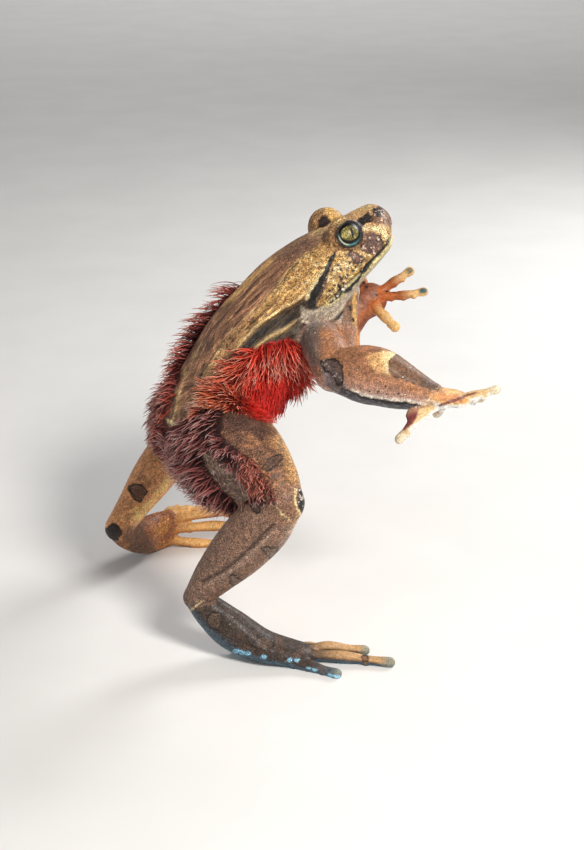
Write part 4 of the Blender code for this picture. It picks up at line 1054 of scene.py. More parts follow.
    for x, y in ((399, 274), (378, 284.5), (387, 291), (394, 292), (395.5, 289.5), (364, 283), (366, 287), (349.5, 308), (353, 320.5), (376.5, 295)):
        paint.lay(SOOT, smooth(1.9, 0.9, np.hypot(worn[:, 0] - x, worn[:, 1] - y)) * (far + on("forearm_left")) * seen)

    # Thighs
    thighs = on("thigh_right", "thigh_left")
    paint.lay(srgb(132, 92, 68), thighs)
    paint.lay(srgb(176, 122, 78), thighs * smooth(0.0, 0.5, mottle) * 0.6)
    paint.lay(srgb(96, 70, 58), thighs * smooth(0.05, 0.5, -mottle) * 0.5)
    # The thighs' faces that point forward, towards the key light, are painted light orange: a painted highlight, broken
    # up by the mottle.
    paint.lay(srgb(240, 184, 116), thighs * smooth(0.30, 0.90, front) * smooth(-0.7, 0.2, mottle + speck * 0.4) * 0.9)
    paint.lay(srgb(96, 74, 60), thighs * smooth(0.15, 0.5, speck) * 0.45)
    paint.texture(1.0, 0.0, 0.15, thighs)
    near = on("thigh_right")
    groin = patch(worn, [(200, 396), (240, 402), (262, 414), (278, 432), (262, 442), (246, 430), (234, 436), (216, 424)], 5) * near
    paint.lay(srgb(80, 54, 46), groin * (0.7 + 0.3 * smooth(0, 0.4, mottle)))
    paint.rimmed(worn, THIGH_BAR, srgb(98, 72, 56), SOOT * 2.0, near * seen, 0.9, 0.85)
    # The thigh skin under the hair is dark maroon, darkened further as painted shade between the strands.
    paint.lay(srgb(66, 36, 32), facts["coat"] * thighs)
    stripe = patch(worn, BARE_STRIPE, 1.6) * near * seen
    paint.lay(srgb(128, 98, 82), stripe)
    paint.lay(srgb(176, 156, 138), stripe * smooth(0.2, 0.5, speck) * 0.6)
    paint.lay(srgb(70, 50, 42), stripe * smooth(0.15, 0.45, -speck) * 0.6)

    # Shanks
    shanks = on("shank_right", "shank_left")
    paint.lay(SHANK_BROWN, shanks)
    paint.lay(srgb(166, 124, 96), shanks * smooth(0.05, 0.6, mottle) * 0.5)
    paint.lay(srgb(110, 84, 70), shanks * smooth(0.1, 0.5, speck) * 0.4)
    paint.texture(1.0, 0.0, 0.2, shanks)
    near = on("shank_right")
    # A pale wash on the near shank's forward, downward-facing side: a painted highlight along its lower edge.
    paint.lay(SHANK_HIGHLIGHT, near * smooth(0.35, 0.95, front) * smooth(0.3, -0.3, up) * 0.7)
    paint.lay(srgb(74, 54, 46), ridge(worn, SHANK_GROOVE) * near * seen * 0.9)
    paint.lay(srgb(190, 160, 140), ridge(worn, [(x + 3, y + 4, w) for x, y, w in SHANK_GROOVE]) * near * seen * 0.5)
    for corners in SHANK_BLOTCHES:
        paint.rimmed(worn, corners, srgb(134, 108, 92), SOOT, near, 1.3, 0.85)
    near = on("thigh_right", "shank_right")
    paint.rimmed(worn, KNEE_BLOTCH, srgb(84, 66, 56), SOOT, near * seen, 1.6, 0.8)
    knee = patch(worn, KNEE_BLACK, 0.9)
    paint.lay(SOOT, knee * near)
    paint.lay(PEARL, knee * smooth(0.06, 0.20, layered(verts, 1.3, 64, 3)) * near * seen * 0.8)
    paint.lay(CREAM, stroke(worn, [(296, 489, 0.8), (294.5, 498, 1.2), (297, 508, 1.0), (301, 516, 1.0)], 0.8) * near * seen)
    paint.lay(CREAM, stroke(worn, [(276, 506, 0.8), (282, 514, 0.9), (291, 521, 0.8)], 1.2) * near * 0.7)
    paint.lay(srgb(226, 196, 160), stroke(worn, [(303, 512, 1.0), (300, 520, 1.4), (294, 528, 1.4), (290, 534, 1.0)], 1.2) * near * 0.7)
    far = on("shank_left")
    paint.texture(0.5, 0.0, 0.1, far)
    # The far shank's own orange, made lighter and warmer to stand in for the warm light on it: partly painted light.
    paint.lay(srgb(236, 168, 114), far * 0.95)
    paint.lay(srgb(150, 104, 80), far * smooth(0.1, 0.6, -mottle) * 0.6)
    # A pale yellow patch on the far shank: a painted highlight.
    paint.lay(srgb(255, 200, 124), far * patch(worn, [(150, 500), (170, 470), (175, 480), (158, 500), (140, 522), (132, 524), (134, 508)], 3) * 0.85)
    paint.rimmed(worn, FAR_BLOTCH, srgb(104, 76, 64), SOOT * 2, far, 1.4, 0.9)
    paint.rimmed(worn, HEEL_SPOT, srgb(44, 34, 28), SOOT, far + on("foot_left"), 2.0, 1.0)

    # Feet
    feet = on("foot_right", "foot_left")
    paint.lay(srgb(70, 56, 48), feet)
    paint.lay(srgb(110, 78, 58), feet * smooth(0.0, 0.5, mottle) * 0.6)
    paint.lay(srgb(44, 34, 30), feet * smooth(0.15, 0.5, speck) * 0.6)
    paint.texture(0.9, 0.0, 0.2, feet)
    paint.texture(0.35, 0.0, 0.0, feet * (digit > 0))
    near = on("foot_right")
    paint.lay(srgb(206, 162, 112), near * np.isin(digit, (1, 2, 3, 4)) * smooth(0.2, 0.55, share) * smooth(-0.2, 0.5, up) * 0.85)
    paint.lay(srgb(96, 112, 120), near * (digit == 5) * smooth(0.5, 0.9, share) * 0.6)
    # The near foot's underside is painted blue-grey: painted blue light from below.
    paint.lay(srgb(66, 96, 112), near * smooth(0.10, -0.5, up))
    paint.lay(srgb(126, 132, 120), near * (digit > 0) * smooth(0.84, 0.95, share) * 0.8)
    for corners in FOOT_BARS:
        paint.rimmed(worn, corners, srgb(92, 72, 58), SOOT, near * seen, 1.2, 0.8)
    paint.rimmed(worn, [(362, 656), (367, 655), (369, 661), (363, 662)], srgb(110, 70, 52), SOOT, near * seen, 1.0, 0.8)
    # The pads on the near foot's underside are painted pale blue: a painted reflection of blue light from below.
    toe_pads = [(309, 666, 2.4), (315, 668, 2.6), (331, 674, 2.8), (337, 675, 2.6), (342, 665, 2.6), (360, 666, 2.6)]
    for x, y, size in FOOT_PADS + toe_pads:
        gap = np.hypot(uv[:, 0] - x, (uv[:, 1] - y - 1) * 1.3)
        limit = np.where(digit > 0, smooth(0.40, 0.05, up), smooth(0.9, 0.5, up))
        paint.lay(BLUE, smooth(size * 1.5, size * 0.9, gap) * near * limit)
    paint.lay(CREAM, stroke(worn, [(203, 600, 0.7), (196, 606, 0.8), (188, 612, 0.9)], 0.9) * (near + on("shank_right")) * seen * 0.8)
    far = on("foot_left")
    paint.lay(srgb(190, 128, 70), far)
    paint.lay(srgb(152, 92, 62), far * (digit == 0) * smooth(-0.3, 0.3, mottle) * 0.9)
    paint.lay(srgb(236, 184, 116), far * (digit > 0) * smooth(0.05, 0.4, share) * smooth(-0.5, 0.3, up))
    # A dark patch on the far foot by the heel: painted shade.
    paint.lay(srgb(92, 64, 48), far * patch(worn, [(124, 530), (140, 520), (152, 545), (158, 552), (130, 556)], 4) * 0.8)


BARE_STRIPE = [(198, 447), (205, 443), (213, 446), (222, 457), (236, 471), (245, 485), (250, 498), (241, 505), (233, 498),
               (221, 487), (211, 474), (205, 461)]
# The dark wedge between the eyes and the back
WEDGE = [(343, 221), (334, 229), (325, 239), (300, 257), (262, 262), (262, 240), (300, 214), (318, 212), (330, 214)]
RUMP_COAT = [(183, 370), (177, 386), (172, 400), (167, 416), (167, 427), (182, 431), (174, 450), (140, 460), (140, 395), (165, 366)]
THIGH_COAT = [(181, 429), (188, 417), (198, 408), (211, 404), (222, 409), (224, 421), (221, 433), (229, 443), (246, 455),
              (259, 466), (266, 479), (273, 491), (276, 500), (268, 502), (254, 499), (246, 503), (236, 508), (224, 522),
              (205, 516), (180, 494), (158, 474), (146, 441), (163, 425)]
COAT_LINE = [(304, 352), (301, 345), (294, 341), (286, 339), (268, 343), (256, 349), (246, 355), (237, 363),
             (229, 375), (219, 388), (208, 402), (193, 418)]


def grained(paint, skin, facts):
    """Fine light and dark grains over all of the painted skin."""
    verts, streaked = skin.verts, np.stack([facts["side"], facts["up"], facts["run"] * 0.22], 1)
    on_back = facts["body"] * smooth(38, 50, facts["run"])
    tone = 0.55 * noise(verts, 0.62, 95) * (1 - 0.5 * on_back) + 0.25 * noise(verts, 1.25, 96)
    tone = tone + 0.8 * on_back * noise(streaked, 0.8, 97)
    weight = np.where(facts["digit"] > 0, 0.45, 1.0) * (0.55 + 0.45 * paint.detail[:, 0])
    paint.colour = np.clip(paint.colour * np.exp(tone * weight)[:, None], 0, 1)


def coat_cover(skin, facts):
    """Where the hair grows: 1 on the flanks and on the thighs' rear and outer faces."""
    part, run, high, uv = facts["part"], facts["run"], facts["elevation"], facts["mirrored"]
    soft = np.stack([noise(facts["canon"], 3.0, 71), noise(facts["canon"], 3.0, 72)], 1) * 1.5
    below = patch(uv + soft, COAT_LINE + [(150, 440), (150, 520), (330, 520), (330, 352)], 2.0)
    flank = facts["body"] * smooth(46, 51, run) * smooth(109.5, 106.5, run) * smooth(-82, -74, high)
    flank *= np.where(facts["side"] > 0, smooth(46, 40, high), below * smooth(36, 30, high))
    flank *= 1 - patch(uv, [(300, 348), (318, 340), (330, 360), (322, 392), (312, 388), (306, 366)], 2.0) * smooth(56, 50, run)
    rump = patch(facts["real"] + soft, RUMP_COAT, 2.0) * facts["body"] * smooth(0.0, 0.2, facts["facing"])
    facts["rump"] = (rump > 0.3) & (flank < 0.5)
    cover = np.maximum(flank, rump)
    for side, name in ((-1, "thigh_right"), (1, "thigh_left")):
        mine = part == name
        rear = facts["side"] * side
        angle = np.degrees(np.arctan2(facts["up"], rear))
        band = smooth(62, 50, angle) * smooth(-118, -106, angle)
        along = smooth(0.16, 0.24, facts["share"]) * smooth(0.84, 0.78, facts["share"])
        grown = band * along
        if side < 0:
            drawn = patch(uv + soft, THIGH_COAT, 2.0) * (1 - patch(uv + soft * 0.5, BARE_STRIPE, 1.5))
            grown = drawn * facts["seen"] + grown * (1 - facts["seen"])
        cover = np.where(mine, grown, cover)
    return cover


# The coat's lie: pixel, direction in the picture, length in millimetres, lift in degrees, curl, share of long hairs
FLANK_LIE = [
    (302, 350, 0.70, 0.70, 8.5, 40, 1.2, 0.6),
    (311, 372, 0.90, 0.40, 8.5, 52, 0.4, 0.4),
    (288, 341, 0.30, 1.00, 10.0, 40, 1.6, 0.7),
    (276, 343, -0.05, 1.00, 8.5, 44, 1.4, 0.7),
    (264, 347, -0.20, 1.00, 8.5, 42, 1.3, 0.7),
    (254, 352, -0.80, 0.35, 9.5, 34, 1.1, 0.8),
    (246, 359, -0.98, -0.10, 10.5, 26, 0.8, 0.9),
    (238, 367, -0.98, -0.18, 10.5, 24, 0.7, 0.9),
    (230, 378, -0.98, -0.15, 10.0, 24, 0.6, 0.9),
    (220, 390, -0.98, 0.00, 9.0, 24, 0.6, 0.9),
    (208, 402, -0.94, 0.25, 7.5, 26, 0.6, 0.95),
    (196, 414, -0.85, 0.50, 5.0, 26, 0.6, 0.9),
    (256, 362, -0.30, 0.95, 8.0, 40, 1.2, 0.8),
    (246, 378, -0.50, 0.85, 8.0, 38, 1.0, 0.8),
    (234, 393, -0.55, 0.80, 7.0, 40, 0.7, 0.7),
    (222, 403, -0.45, 0.90, 5.0, 38, 0.7, 0.5),
    (240, 404, -0.20, 1.00, 4.0, 36, 0.4, 0.1),
    (248, 412, -0.10, 1.00, 3.2, 32, 0.4, 0.05),
    (290, 360, 0.35, 0.95, 7.0, 44, 1.4, 0.40),
    (274, 368, 0.05, 1.00, 6.5, 46, 1.2, 0.40),
    (284, 378, 0.15, 1.00, 3.2, 30, 0.3, 0.02),
    (288, 390, 0.20, 1.00, 3.2, 30, 0.3, 0.00),
    (272, 392, 0.00, 1.00, 3.4, 32, 0.3, 0.03),
    (304, 378, 0.75, 0.66, 8.0, 50, 0.4, 0.30),
    (297, 392, 0.66, 0.75, 9.0, 52, 0.4, 0.20),
    (289, 402, 0.50, 0.86, 7.5, 50, 0.4, 0.20),
    (256, 392, -0.15, 1.00, 4.0, 34, 0.4, 0.08),
    (256, 404, -0.10, 1.00, 3.8, 32, 0.3, 0.04),
    (281, 405, 0.30, 0.95, 5.6, 46, 0.3, 0.25),
    (301, 392, 0.66, 0.75, 9.0, 50, 0.3, 0.30),
    (266, 414, 0.05, 1.00, 3.8, 46, 0.3, 0.12),
]
THIGH_LIE = [
    (186, 400, -0.88, 0.48, 9.0, 28, 0.5, 0.9),
    (202, 388, -0.88, 0.46, 9.0, 28, 0.6, 0.9),
    (216, 378, -0.85, 0.50, 8.5, 30, 0.7, 0.9),
    (236, 384, -0.50, 0.85, 6.5, 36, 0.7, 0.7),
    (212, 400, -0.60, 0.80, 5.5, 40, 0.6, 0.6),
    (234, 412, -0.20, 1.00, 2.6, 34, 0.5, 0.1),
    (226, 426, -0.50, 0.85, 3.2, 34, 0.5, 0.2),
    (205, 422, -0.88, 0.48, 8.0, 32, 0.6, 0.7),
    (190, 434, -0.88, 0.48, 9.5, 32, 0.6, 0.8),
    (170, 446, -0.92, 0.38, 8.5, 34, 0.5, 0.8),
    (205, 440, -0.96, 0.26, 8.5, 28, 0.7, 0.7),
    (222, 444, -0.80, 0.55, 4.0, 34, 0.8, 0.6),
    (243, 458, 0.05, 1.00, 2.6, 44, 1.2, 0.9),
    (256, 470, 0.25, 1.00, 2.6, 46, 1.2, 0.9),
    (266, 486, 0.40, 0.95, 3.2, 44, 1.0, 0.9),
    (256, 492, 0.10, 0.97, 3.6, 40, 1.0, 0.8),
    (236, 482, -0.20, 0.95, 2.6, 40, 1.0, 0.6),
    (188, 462, -0.88, 0.46, 11.0, 30, 0.9, 0.8),
    (206, 478, -0.82, 0.56, 10.0, 32, 1.0, 0.8),
    (196, 492, -0.70, 0.72, 9.5, 36, 0.9, 0.8),
    (222, 498, -0.66, 0.75, 9.5, 34, 0.9, 0.8),
    (216, 510, -0.50, 0.86, 9.5, 38, 0.8, 0.8),
    (236, 510, -0.30, 0.95, 7.0, 34, 0.6, 0.6),
    (172, 478, -0.80, 0.60, 9.0, 34, 0.7, 0.7),
]
STRAND_RINGS, STRAND_SIDES = 6, 3
BAKE_PATCH = 0.003
COAT_LIMIT = 4700  # strands in one piece
COATS = {"flank_right": 9500, "flank_left": 6000, "thigh_right": 6800, "thigh_left": 4800}
LONG_SHARE = {"flank": 0.38, "thigh": 0.26}


def lie_at(uv, rows):
    """Direction, length, lift, curl and share of long hairs at pixels, between the places where they are given."""
    rows = np.array(rows, float)
    weight = 1.0 / (np.sum((uv[:, None] - rows[None, :, :2]) ** 2, 2) + 12.0) ** 1.8
    weight /= weight.sum(1, keepdims=True)
    return weight @ rows[:, 2:]


def coat_roots(skin, facts, where, count, draw):
    """Random places on the skin, as dense as where says: positions, normals and nearest vertices."""
    corners = skin.faces
    a, b, c, d = (skin.verts[corners[:, k]] for k in range(4))
    area = np.linalg.norm(np.cross(c - a, d - b), axis=1) / 2
    chance = area * where[corners].mean(1)
    chosen = draw.choice(len(corners), count, p=chance / chance.sum())
    s, t = draw.random((2, count, 1))
    spots = (a[chosen] * (1 - s) + b[chosen] * s) * (1 - t) + (d[chosen] * (1 - s) + c[chosen] * s) * t
    return spots, unit(facts["normal"][corners[chosen]].mean(1)), corners[chosen, 0]


def near_spot(uv, x, y, low, high):
    return smooth(high, low, np.hypot(uv[:, 0] - x, uv[:, 1] - y))[:, None]


def strand_colours(kind, uv, spots, long, draw, count):
    """Root, middle and tip colour of each strand."""
    pale = (draw.random(count) < 0.45)[:, None] & long
    if kind == "flank_right":
        right = smooth(238, 264, uv[:, 0])[:, None]
        centre = near_spot(uv, 268, 394, 18, 34)
        middle = srgb(188, 26, 20) * right + srgb(116, 36, 28) * (1 - right)
        tip = srgb(198, 44, 34) * right + srgb(150, 62, 46) * (1 - right)
        middle = np.where(long, srgb(206, 66, 50) * right + srgb(196, 78, 52) * (1 - right), middle)
        tip = np.where(long, srgb(236, 138, 114) * right + srgb(232, 152, 118) * (1 - right), tip)
        middle, tip = middle + (srgb(214, 42, 33) - middle) * centre, tip + (srgb(222, 56, 45) - tip) * centre
        tip = np.where(pale & (centre < 0.4), srgb(250, 204, 180), tip)
        groin = near_spot(uv, 211, 402, 6, 17)
        middle = middle + (srgb(196, 92, 50) - middle) * groin
        tip = tip + (srgb(240, 222, 200) - tip) * near_spot(uv, 207, 403, 4, 11)
        tip = tip + (srgb(250, 220, 160) - tip) * near_spot(uv, 312, 378, 6, 13)
        low = smooth(-6, 4, (uv[:, 1] - 402) + (uv[:, 0] - 282) * 0.75)[:, None] * right
        tip = tip + (srgb(224, 150, 136) - tip) * low * 0.7
        dark = smooth(410, 424, uv[:, 1])[:, None] * smooth(262, 240, uv[:, 0])[:, None]
        middle, tip = middle + (srgb(104, 50, 48) - middle) * dark, tip + (srgb(150, 88, 84) - tip) * dark
        root = middle * (0.42 + 0.5 * centre)
    elif kind == "flank_left":
        middle = np.where(long, srgb(172, 84, 74), srgb(78, 28, 28))
        tip = np.where(long, srgb(236, 190, 174), srgb(108, 48, 44))
        root = middle * 0.45
    else:
        warm = (smooth(232, 250, uv[:, 0]) * smooth(498, 484, uv[:, 1]) * smooth(446, 458, uv[:, 1]))[:, None]
        # The short under-hairs are nearly black: painted shade in the gaps between the long strands.
        middle = np.where(long, srgb(142, 78, 74), srgb(44, 20, 19))
        middle = middle + (srgb(196, 104, 84) - middle) * warm * 0.75
        tip = np.where(long, srgb(212, 156, 150), srgb(60, 30, 28))
        tip = np.where(pale, srgb(242, 206, 196), tip)
        tip = tip + (srgb(236, 164, 138) - tip) * warm * 0.7
        root = middle * 0.35
    # Random tone for each strand, and whole locks made darker together: the darker locks are painted shade in the gaps
    # between locks.
    shade = draw.uniform(0.62, 1.25, (count, 1)) * (1 + 0.45 * noise(spots, 1.5, 93))[:, None]
    shade = shade ** (1 - 0.7 * centre) if kind == "flank_right" else shade
    return root * shade, middle * shade, tip * np.clip(shade, 0.6, 1.15)


def make_strands(spots, normal, lie, length, lift, curl, thick, draw):
    """Vertices of tapered strands: rings of three points and a tip, each bent over along its lie."""
    count = len(spots)
    lie = unit(lie - normal * np.sum(lie * normal, 1)[:, None])
    swing = draw.normal(0, 0.16, count) + 0.65 * noise(spots, 1.9, 91)
    lie = unit(lie + np.cross(lie, normal) * swing[:, None])
    across = np.cross(lie, normal)
    wave, phase = draw.uniform(0.5, 1.2, count), draw.uniform(0, 2 * math.pi, count)
    sway = np.minimum(curl * 0.5, length * 0.12)
    bend = draw.uniform(0.4, 1.0, count)
    here, rings = spots - normal * 0.35, []
    for k in range(STRAND_RINGS + 1):
        t = k / STRAND_RINGS
        angle = lift * (1 - bend * t) + 0.30 * np.sin(2 * math.pi * wave * t + phase * 1.7) * np.minimum(curl, 1)
        way = lie * np.cos(angle)[:, None] + normal * np.sin(angle)[:, None]
        centre = here + (sway * (np.sin(2 * math.pi * wave * t + phase) - np.sin(phase)))[:, None] * across
        if k == STRAND_RINGS:
            rings.append(centre[:, None])
            break
        high = np.cross(across, way)
        radius = (thick * (1.0, 1.0, 0.92, 0.78, 0.62, 0.42)[k])[:, None]
        turns = (0.5, 2.6, 4.7)
        rings.append(np.stack([centre + (across * math.cos(q) + high * math.sin(q)) * radius for q in turns], 1))
        here = here + way * (length / STRAND_RINGS)[:, None]
    return np.concatenate(rings, 1)


def strand_faces():
    """Triangles of one strand: sides, tip and root."""
    faces, sides = [], STRAND_SIDES
    for k in range(STRAND_RINGS - 1):
        for j in range(sides):
            a, b = k * sides + j, k * sides + (j + 1) % sides
            faces += [(a, b, b + sides), (a, b + sides, a + sides)]
    last = (STRAND_RINGS - 1) * sides
    faces += [(last + j, last + (j + 1) % sides, last + sides) for j in range(sides)]
    faces.append((2, 1, 0))
    return np.array(faces)


def far_lie(kind, facts, vertex, uv):
    """The coat's lie on the sides that the photograph doesn't show, in the same rows as lie_at."""
    one = np.ones(len(vertex))
    if kind == "flank_left":
        _, left, up, ahead = body_frame(facts["run"][vertex])
        down = np.clip((38 - facts["elevation"][vertex]) / 116, 0, 1)
        lie = -ahead * (0.85 - 0.4 * down)[:, None] + up * 0.35 + left * 0.2
        rump = facts["rump"][vertex]
        lie = np.where(rump[:, None], vec(-1.0, 0.2, -0.25), lie)
        length = (10.5 - 4.0 * down) * (1 - 0.5 * smooth(64, 100, facts["run"][vertex]))
        raised = (66 - 22 * down) * (1 - 0.45 * smooth(80, 100, facts["run"][vertex]))
        return lie, length, np.radians(np.where(rump, 30, raised)), 0.5 * one, 0.75 - 0.4 * down
    angle = np.degrees(np.arctan2(facts["up"][vertex], facts["side"][vertex]))
    down = np.clip((52 - angle) / 157, 0, 1)
    lie = np.stack([-0.85 + 0.3 * down, 0.12 * one, -0.4 - 0.5 * down], 1)
    return lie, 8.0 * one, np.radians(40) * one, 0.6 * one, 0.7 * one


def make_coat(kind, skin, facts, draw):
    """The hair of one flank or thigh, as pieces of many thin strands."""
    side = -1 if kind.endswith("right") else 1
    body = kind.startswith("flank")
    mine = (facts["side"] > 0) | facts["rump"]
    where = facts["coat"] * (facts["body"] * (mine if side > 0 else ~mine) if body else facts["part"] == kind)
    count = COATS[kind]
    spots, normal, vertex = coat_roots(skin, facts, where, count, draw)
    uv = facts["mirrored"][vertex]
    if side < 0:
        rows = lie_at(uv, FLANK_LIE if body else THIGH_LIE)
        lie = vec(1, 0, 0) * rows[:, :1] - RISE * rows[:, 1:2]
        length, lift, curl, share = rows[:, 2], np.radians(rows[:, 3]), rows[:, 4], rows[:, 5]
    else:
        lie, length, lift, curl, share = far_lie(kind, facts, vertex, uv)
    long = draw.random(count) < share * LONG_SHARE[kind[:5]]
    length = length * np.where(long, draw.uniform(0.8, 1.25, count), draw.uniform(0.4, 0.85, count))
    lift = lift * draw.uniform(0.7, 1.3, count) * np.where(long, 1.1, 0.9)
    thick = np.where(long, draw.uniform(0.22, 0.32, count), draw.uniform(0.12, 0.18, count))
    points = make_strands(spots, normal, lie, length, lift, curl, thick, draw)
    kept = points[..., 2].min(1) > 2.0
    points = points[kept]
    root, middle, tip = (values[kept] for values in strand_colours(kind, uv, spots, long[:, None], draw, count))
    angle = np.arctan2(facts["up"][vertex], facts["side"][vertex] * side)[kept]
    home = np.stack([0.03 + 0.92 * (angle + math.pi) / (2 * math.pi), 0.03 + 0.92 * facts["share"][vertex][kept]], 1)
    size, faces = points.shape[1], strand_faces()
    level = (np.minimum(np.arange(size) // STRAND_SIDES, STRAND_RINGS) / STRAND_RINGS)[None, :, None]
    lower = root[:, None] + (middle - root)[:, None] * np.minimum(level * 2, 1)
    mixed = np.where(level < 0.5, lower, middle[:, None] + (tip - middle)[:, None] * np.maximum(level * 2 - 1, 0) ** 1.3)
    patch_uv = np.stack([np.arange(size) % STRAND_SIDES / STRAND_SIDES, level[0, :, 0]], 1) * BAKE_PATCH
    made = []
    for number, group in enumerate(np.array_split(np.arange(len(points)), math.ceil(len(points) / COAT_LIMIT)), 1):
        corners = (faces[None] + size * np.arange(len(group))[:, None, None]).reshape(-1, 3)
        piece = make_mesh(f"coat_{kind}_{number}", points[group].reshape(-1, 3), corners)
        add_colour(piece, "coat_colour", mixed[group].reshape(-1, 3))
        places = (home[group][:, None] + patch_uv[None]).reshape(-1, 2)
        layer = piece.data.uv_layers.new(name="OFBake")
        layer.data.foreach_set("uv", places[corners.ravel()].astype(np.float32).ravel())
        piece.data.shade_smooth()
        made.append(piece)
    return made


def add_colour(made, name, colours, kind="FLOAT_COLOR"):
    layer = made.data.color_attributes.new(name, kind, "POINT")
    full = np.ones((len(colours), 4), np.float32)
    full[:, : colours.shape[1]] = colours
    layer.data.foreach_set("color", full.ravel())


class Nodes:
    """Builds a material's nodes with short calls."""

    def __init__(self, name, **sockets):
        self.material = bpy.data.materials.new(name)
        self.material.use_nodes = True
        self.tree = self.material.node_tree
        self.shader = self.tree.nodes["Principled BSDF"]
        for socket, value in sockets.items():
            self.shader.inputs[socket.replace("_", " ")].default_value = value

    def add(self, kind, inputs=(), output=0, **settings):
        node = self.tree.nodes.new("ShaderNode" + kind)
        for name, value in settings.items():
            setattr(node, name, value)
        for socket, value in dict(inputs).items():
            if isinstance(value, bpy.types.NodeSocket):
                self.tree.links.new(value, node.inputs[socket])
            else:
                node.inputs[socket].default_value = value
        return node.outputs[output]

    def math(self, operation, a, b=0.0, c=0.0, clamp=False):
        return self.add("Math", {0: a, 1: b, 2: c}, operation=operation, use_clamp=clamp)

    def attribute(self, name, output="Color"):
        return self.add("Attribute", output=output, attribute_type="GEOMETRY", attribute_name=name)

    def place(self):
        return self.add("TexCoord", output="Object")

    def grain(self, size, detail=2.0, roughness=0.5):
        """Noise with features about size metres across."""
        return self.add("TexNoise", {"Vector": self.place(), "Scale": 1 / size, "Detail": detail, "Roughness": roughness})

    def cells(self, size, feature="F1", output="Distance"):
        return self.add("TexVoronoi", {"Vector": self.place(), "Scale": 1 / size}, output, feature=feature)

    def ramp(self, value, low, high, to_low=0.0, to_high=1.0):
        return self.add("MapRange", {"Value": value, "From Min": low, "From Max": high, "To Min": to_low, "To Max": to_high},
                        interpolation_type="SMOOTHSTEP")

    def scaled(self, colour, factor):
        return self.add("VectorMath", {0: colour, "Scale": factor}, operation="SCALE")

    def mixed(self, colour, target, share):
        return self.add("Mix", {"Factor": share, 6: colour, 7: target}, 2, data_type="RGBA")

    def bump(self, height, distance, strength=1.0, normal=None):
        inputs = {"Height": height, "Distance": distance, "Strength": strength}
        if normal is not None:
            inputs["Normal"] = normal
        return self.add("Bump", inputs)

    def end(self, **links):
        for socket, value in links.items():
            self.tree.links.new(value, self.shader.inputs[socket.replace("_", " ")])
        return self.material


def skin_material():
    n = Nodes("moist_skin", Roughness=0.5, Coat_Weight=0.05, Coat_Roughness=0.25, Specular_IOR_Level=0.32)
    colour = n.attribute("skin_colour")
    parts = n.add("SeparateColor", {"Color": n.attribute("skin_detail")}, 0)
    split = parts.node
    grain, streak, wart = (split.outputs[k] for k in range(3))
    fine, coarse = n.grain(0.0004, 3.0, 0.7), n.grain(0.0013, 2.0)
    cell = n.cells(0.00055)
    knob = n.ramp(cell, 0.10, 0.55, 1.0, 0.0)
    bead = n.math("MULTIPLY", n.math("SUBTRACT", knob, 0.45), n.math("MULTIPLY", grain, 0.75))
    tone = n.math("ADD", n.ramp(fine, 0.36, 0.64, n.ramp(grain, 0.2, 0.8, 0.80, 0.45), n.ramp(grain, 0.2, 0.8, 1.2, 1.5)), bead)
    tone = n.math("MULTIPLY", tone, n.ramp(coarse, 0.3, 0.7, 0.92, 1.08))
    spot = n.cells(0.0031)
    top = n.math("MULTIPLY", n.ramp(spot, 0.07, 0.12, 1.0, 0.0), wart)
    lean = (math.radians(-17.5), math.radians(49.3), 0.0)
    squeezed = n.add("Mapping", {"Vector": n.place(), "Rotation": lean, "Scale": (1.0, 1.0, 7.0)}, vector_type="TEXTURE")
    lines = n.add("TexNoise", {"Vector": squeezed, "Scale": 1 / 0.0008, "Detail": 3.0, "Roughness": 0.6})
    worn = n.ramp(lines, 0.36, 0.60, 0.58, 1.22)
    tone = n.math("MULTIPLY", tone, n.math("ADD", 1.0, n.math("MULTIPLY", n.math("SUBTRACT", worn, 1.0), streak)))
    colour = n.scaled(colour, tone)
    colour = n.mixed(colour, (0.86, 0.74, 0.56, 1.0), n.math("MULTIPLY", top, 0.8))
    normal = n.bump(knob, 0.00018, n.ramp(grain, 0.0, 1.0, 0.25, 1.0))
    normal = n.bump(lines, 0.00060, streak, normal)
    normal = n.bump(n.math("MULTIPLY", n.ramp(spot, 0.05, 0.16, 1.0, 0.0), wart), 0.00025, 1.0, normal)
    normal = n.bump(fine, 0.00006, 0.7, normal)
    return n.end(Base_Color=colour, Roughness=n.ramp(coarse, 0.3, 0.7, 0.40, 0.62), Normal=normal)


def coat_material():
    n = Nodes("hair_papillae", Roughness=0.5, Specular_IOR_Level=0.25)
    colour = n.scaled(n.attribute("coat_colour"), n.ramp(n.grain(0.0009, 2.0), 0.3, 0.7, 0.86, 1.14))
    return n.end(Base_Color=colour, Roughness=n.ramp(n.grain(0.0015), 0.3, 0.7, 0.42, 0.60),
                 Normal=n.bump(n.grain(0.0003), 0.00003, 0.5))


def eye_material():
    n = Nodes("wet_eye", Roughness=0.4, Coat_Weight=0.08, Coat_Roughness=0.06, Specular_IOR_Level=0.22)
    colour = n.scaled(n.attribute("eye_colour"), n.ramp(n.grain(0.00025, 3.0), 0.3, 0.7, 0.88, 1.12))
    return n.end(Base_Color=colour, Roughness=n.ramp(n.grain(0.0004), 0.3, 0.7, 0.34, 0.46))


IRIS_REACH, RING_REACH, PUPIL = 0.545, 0.675, (0.085, 0.30)


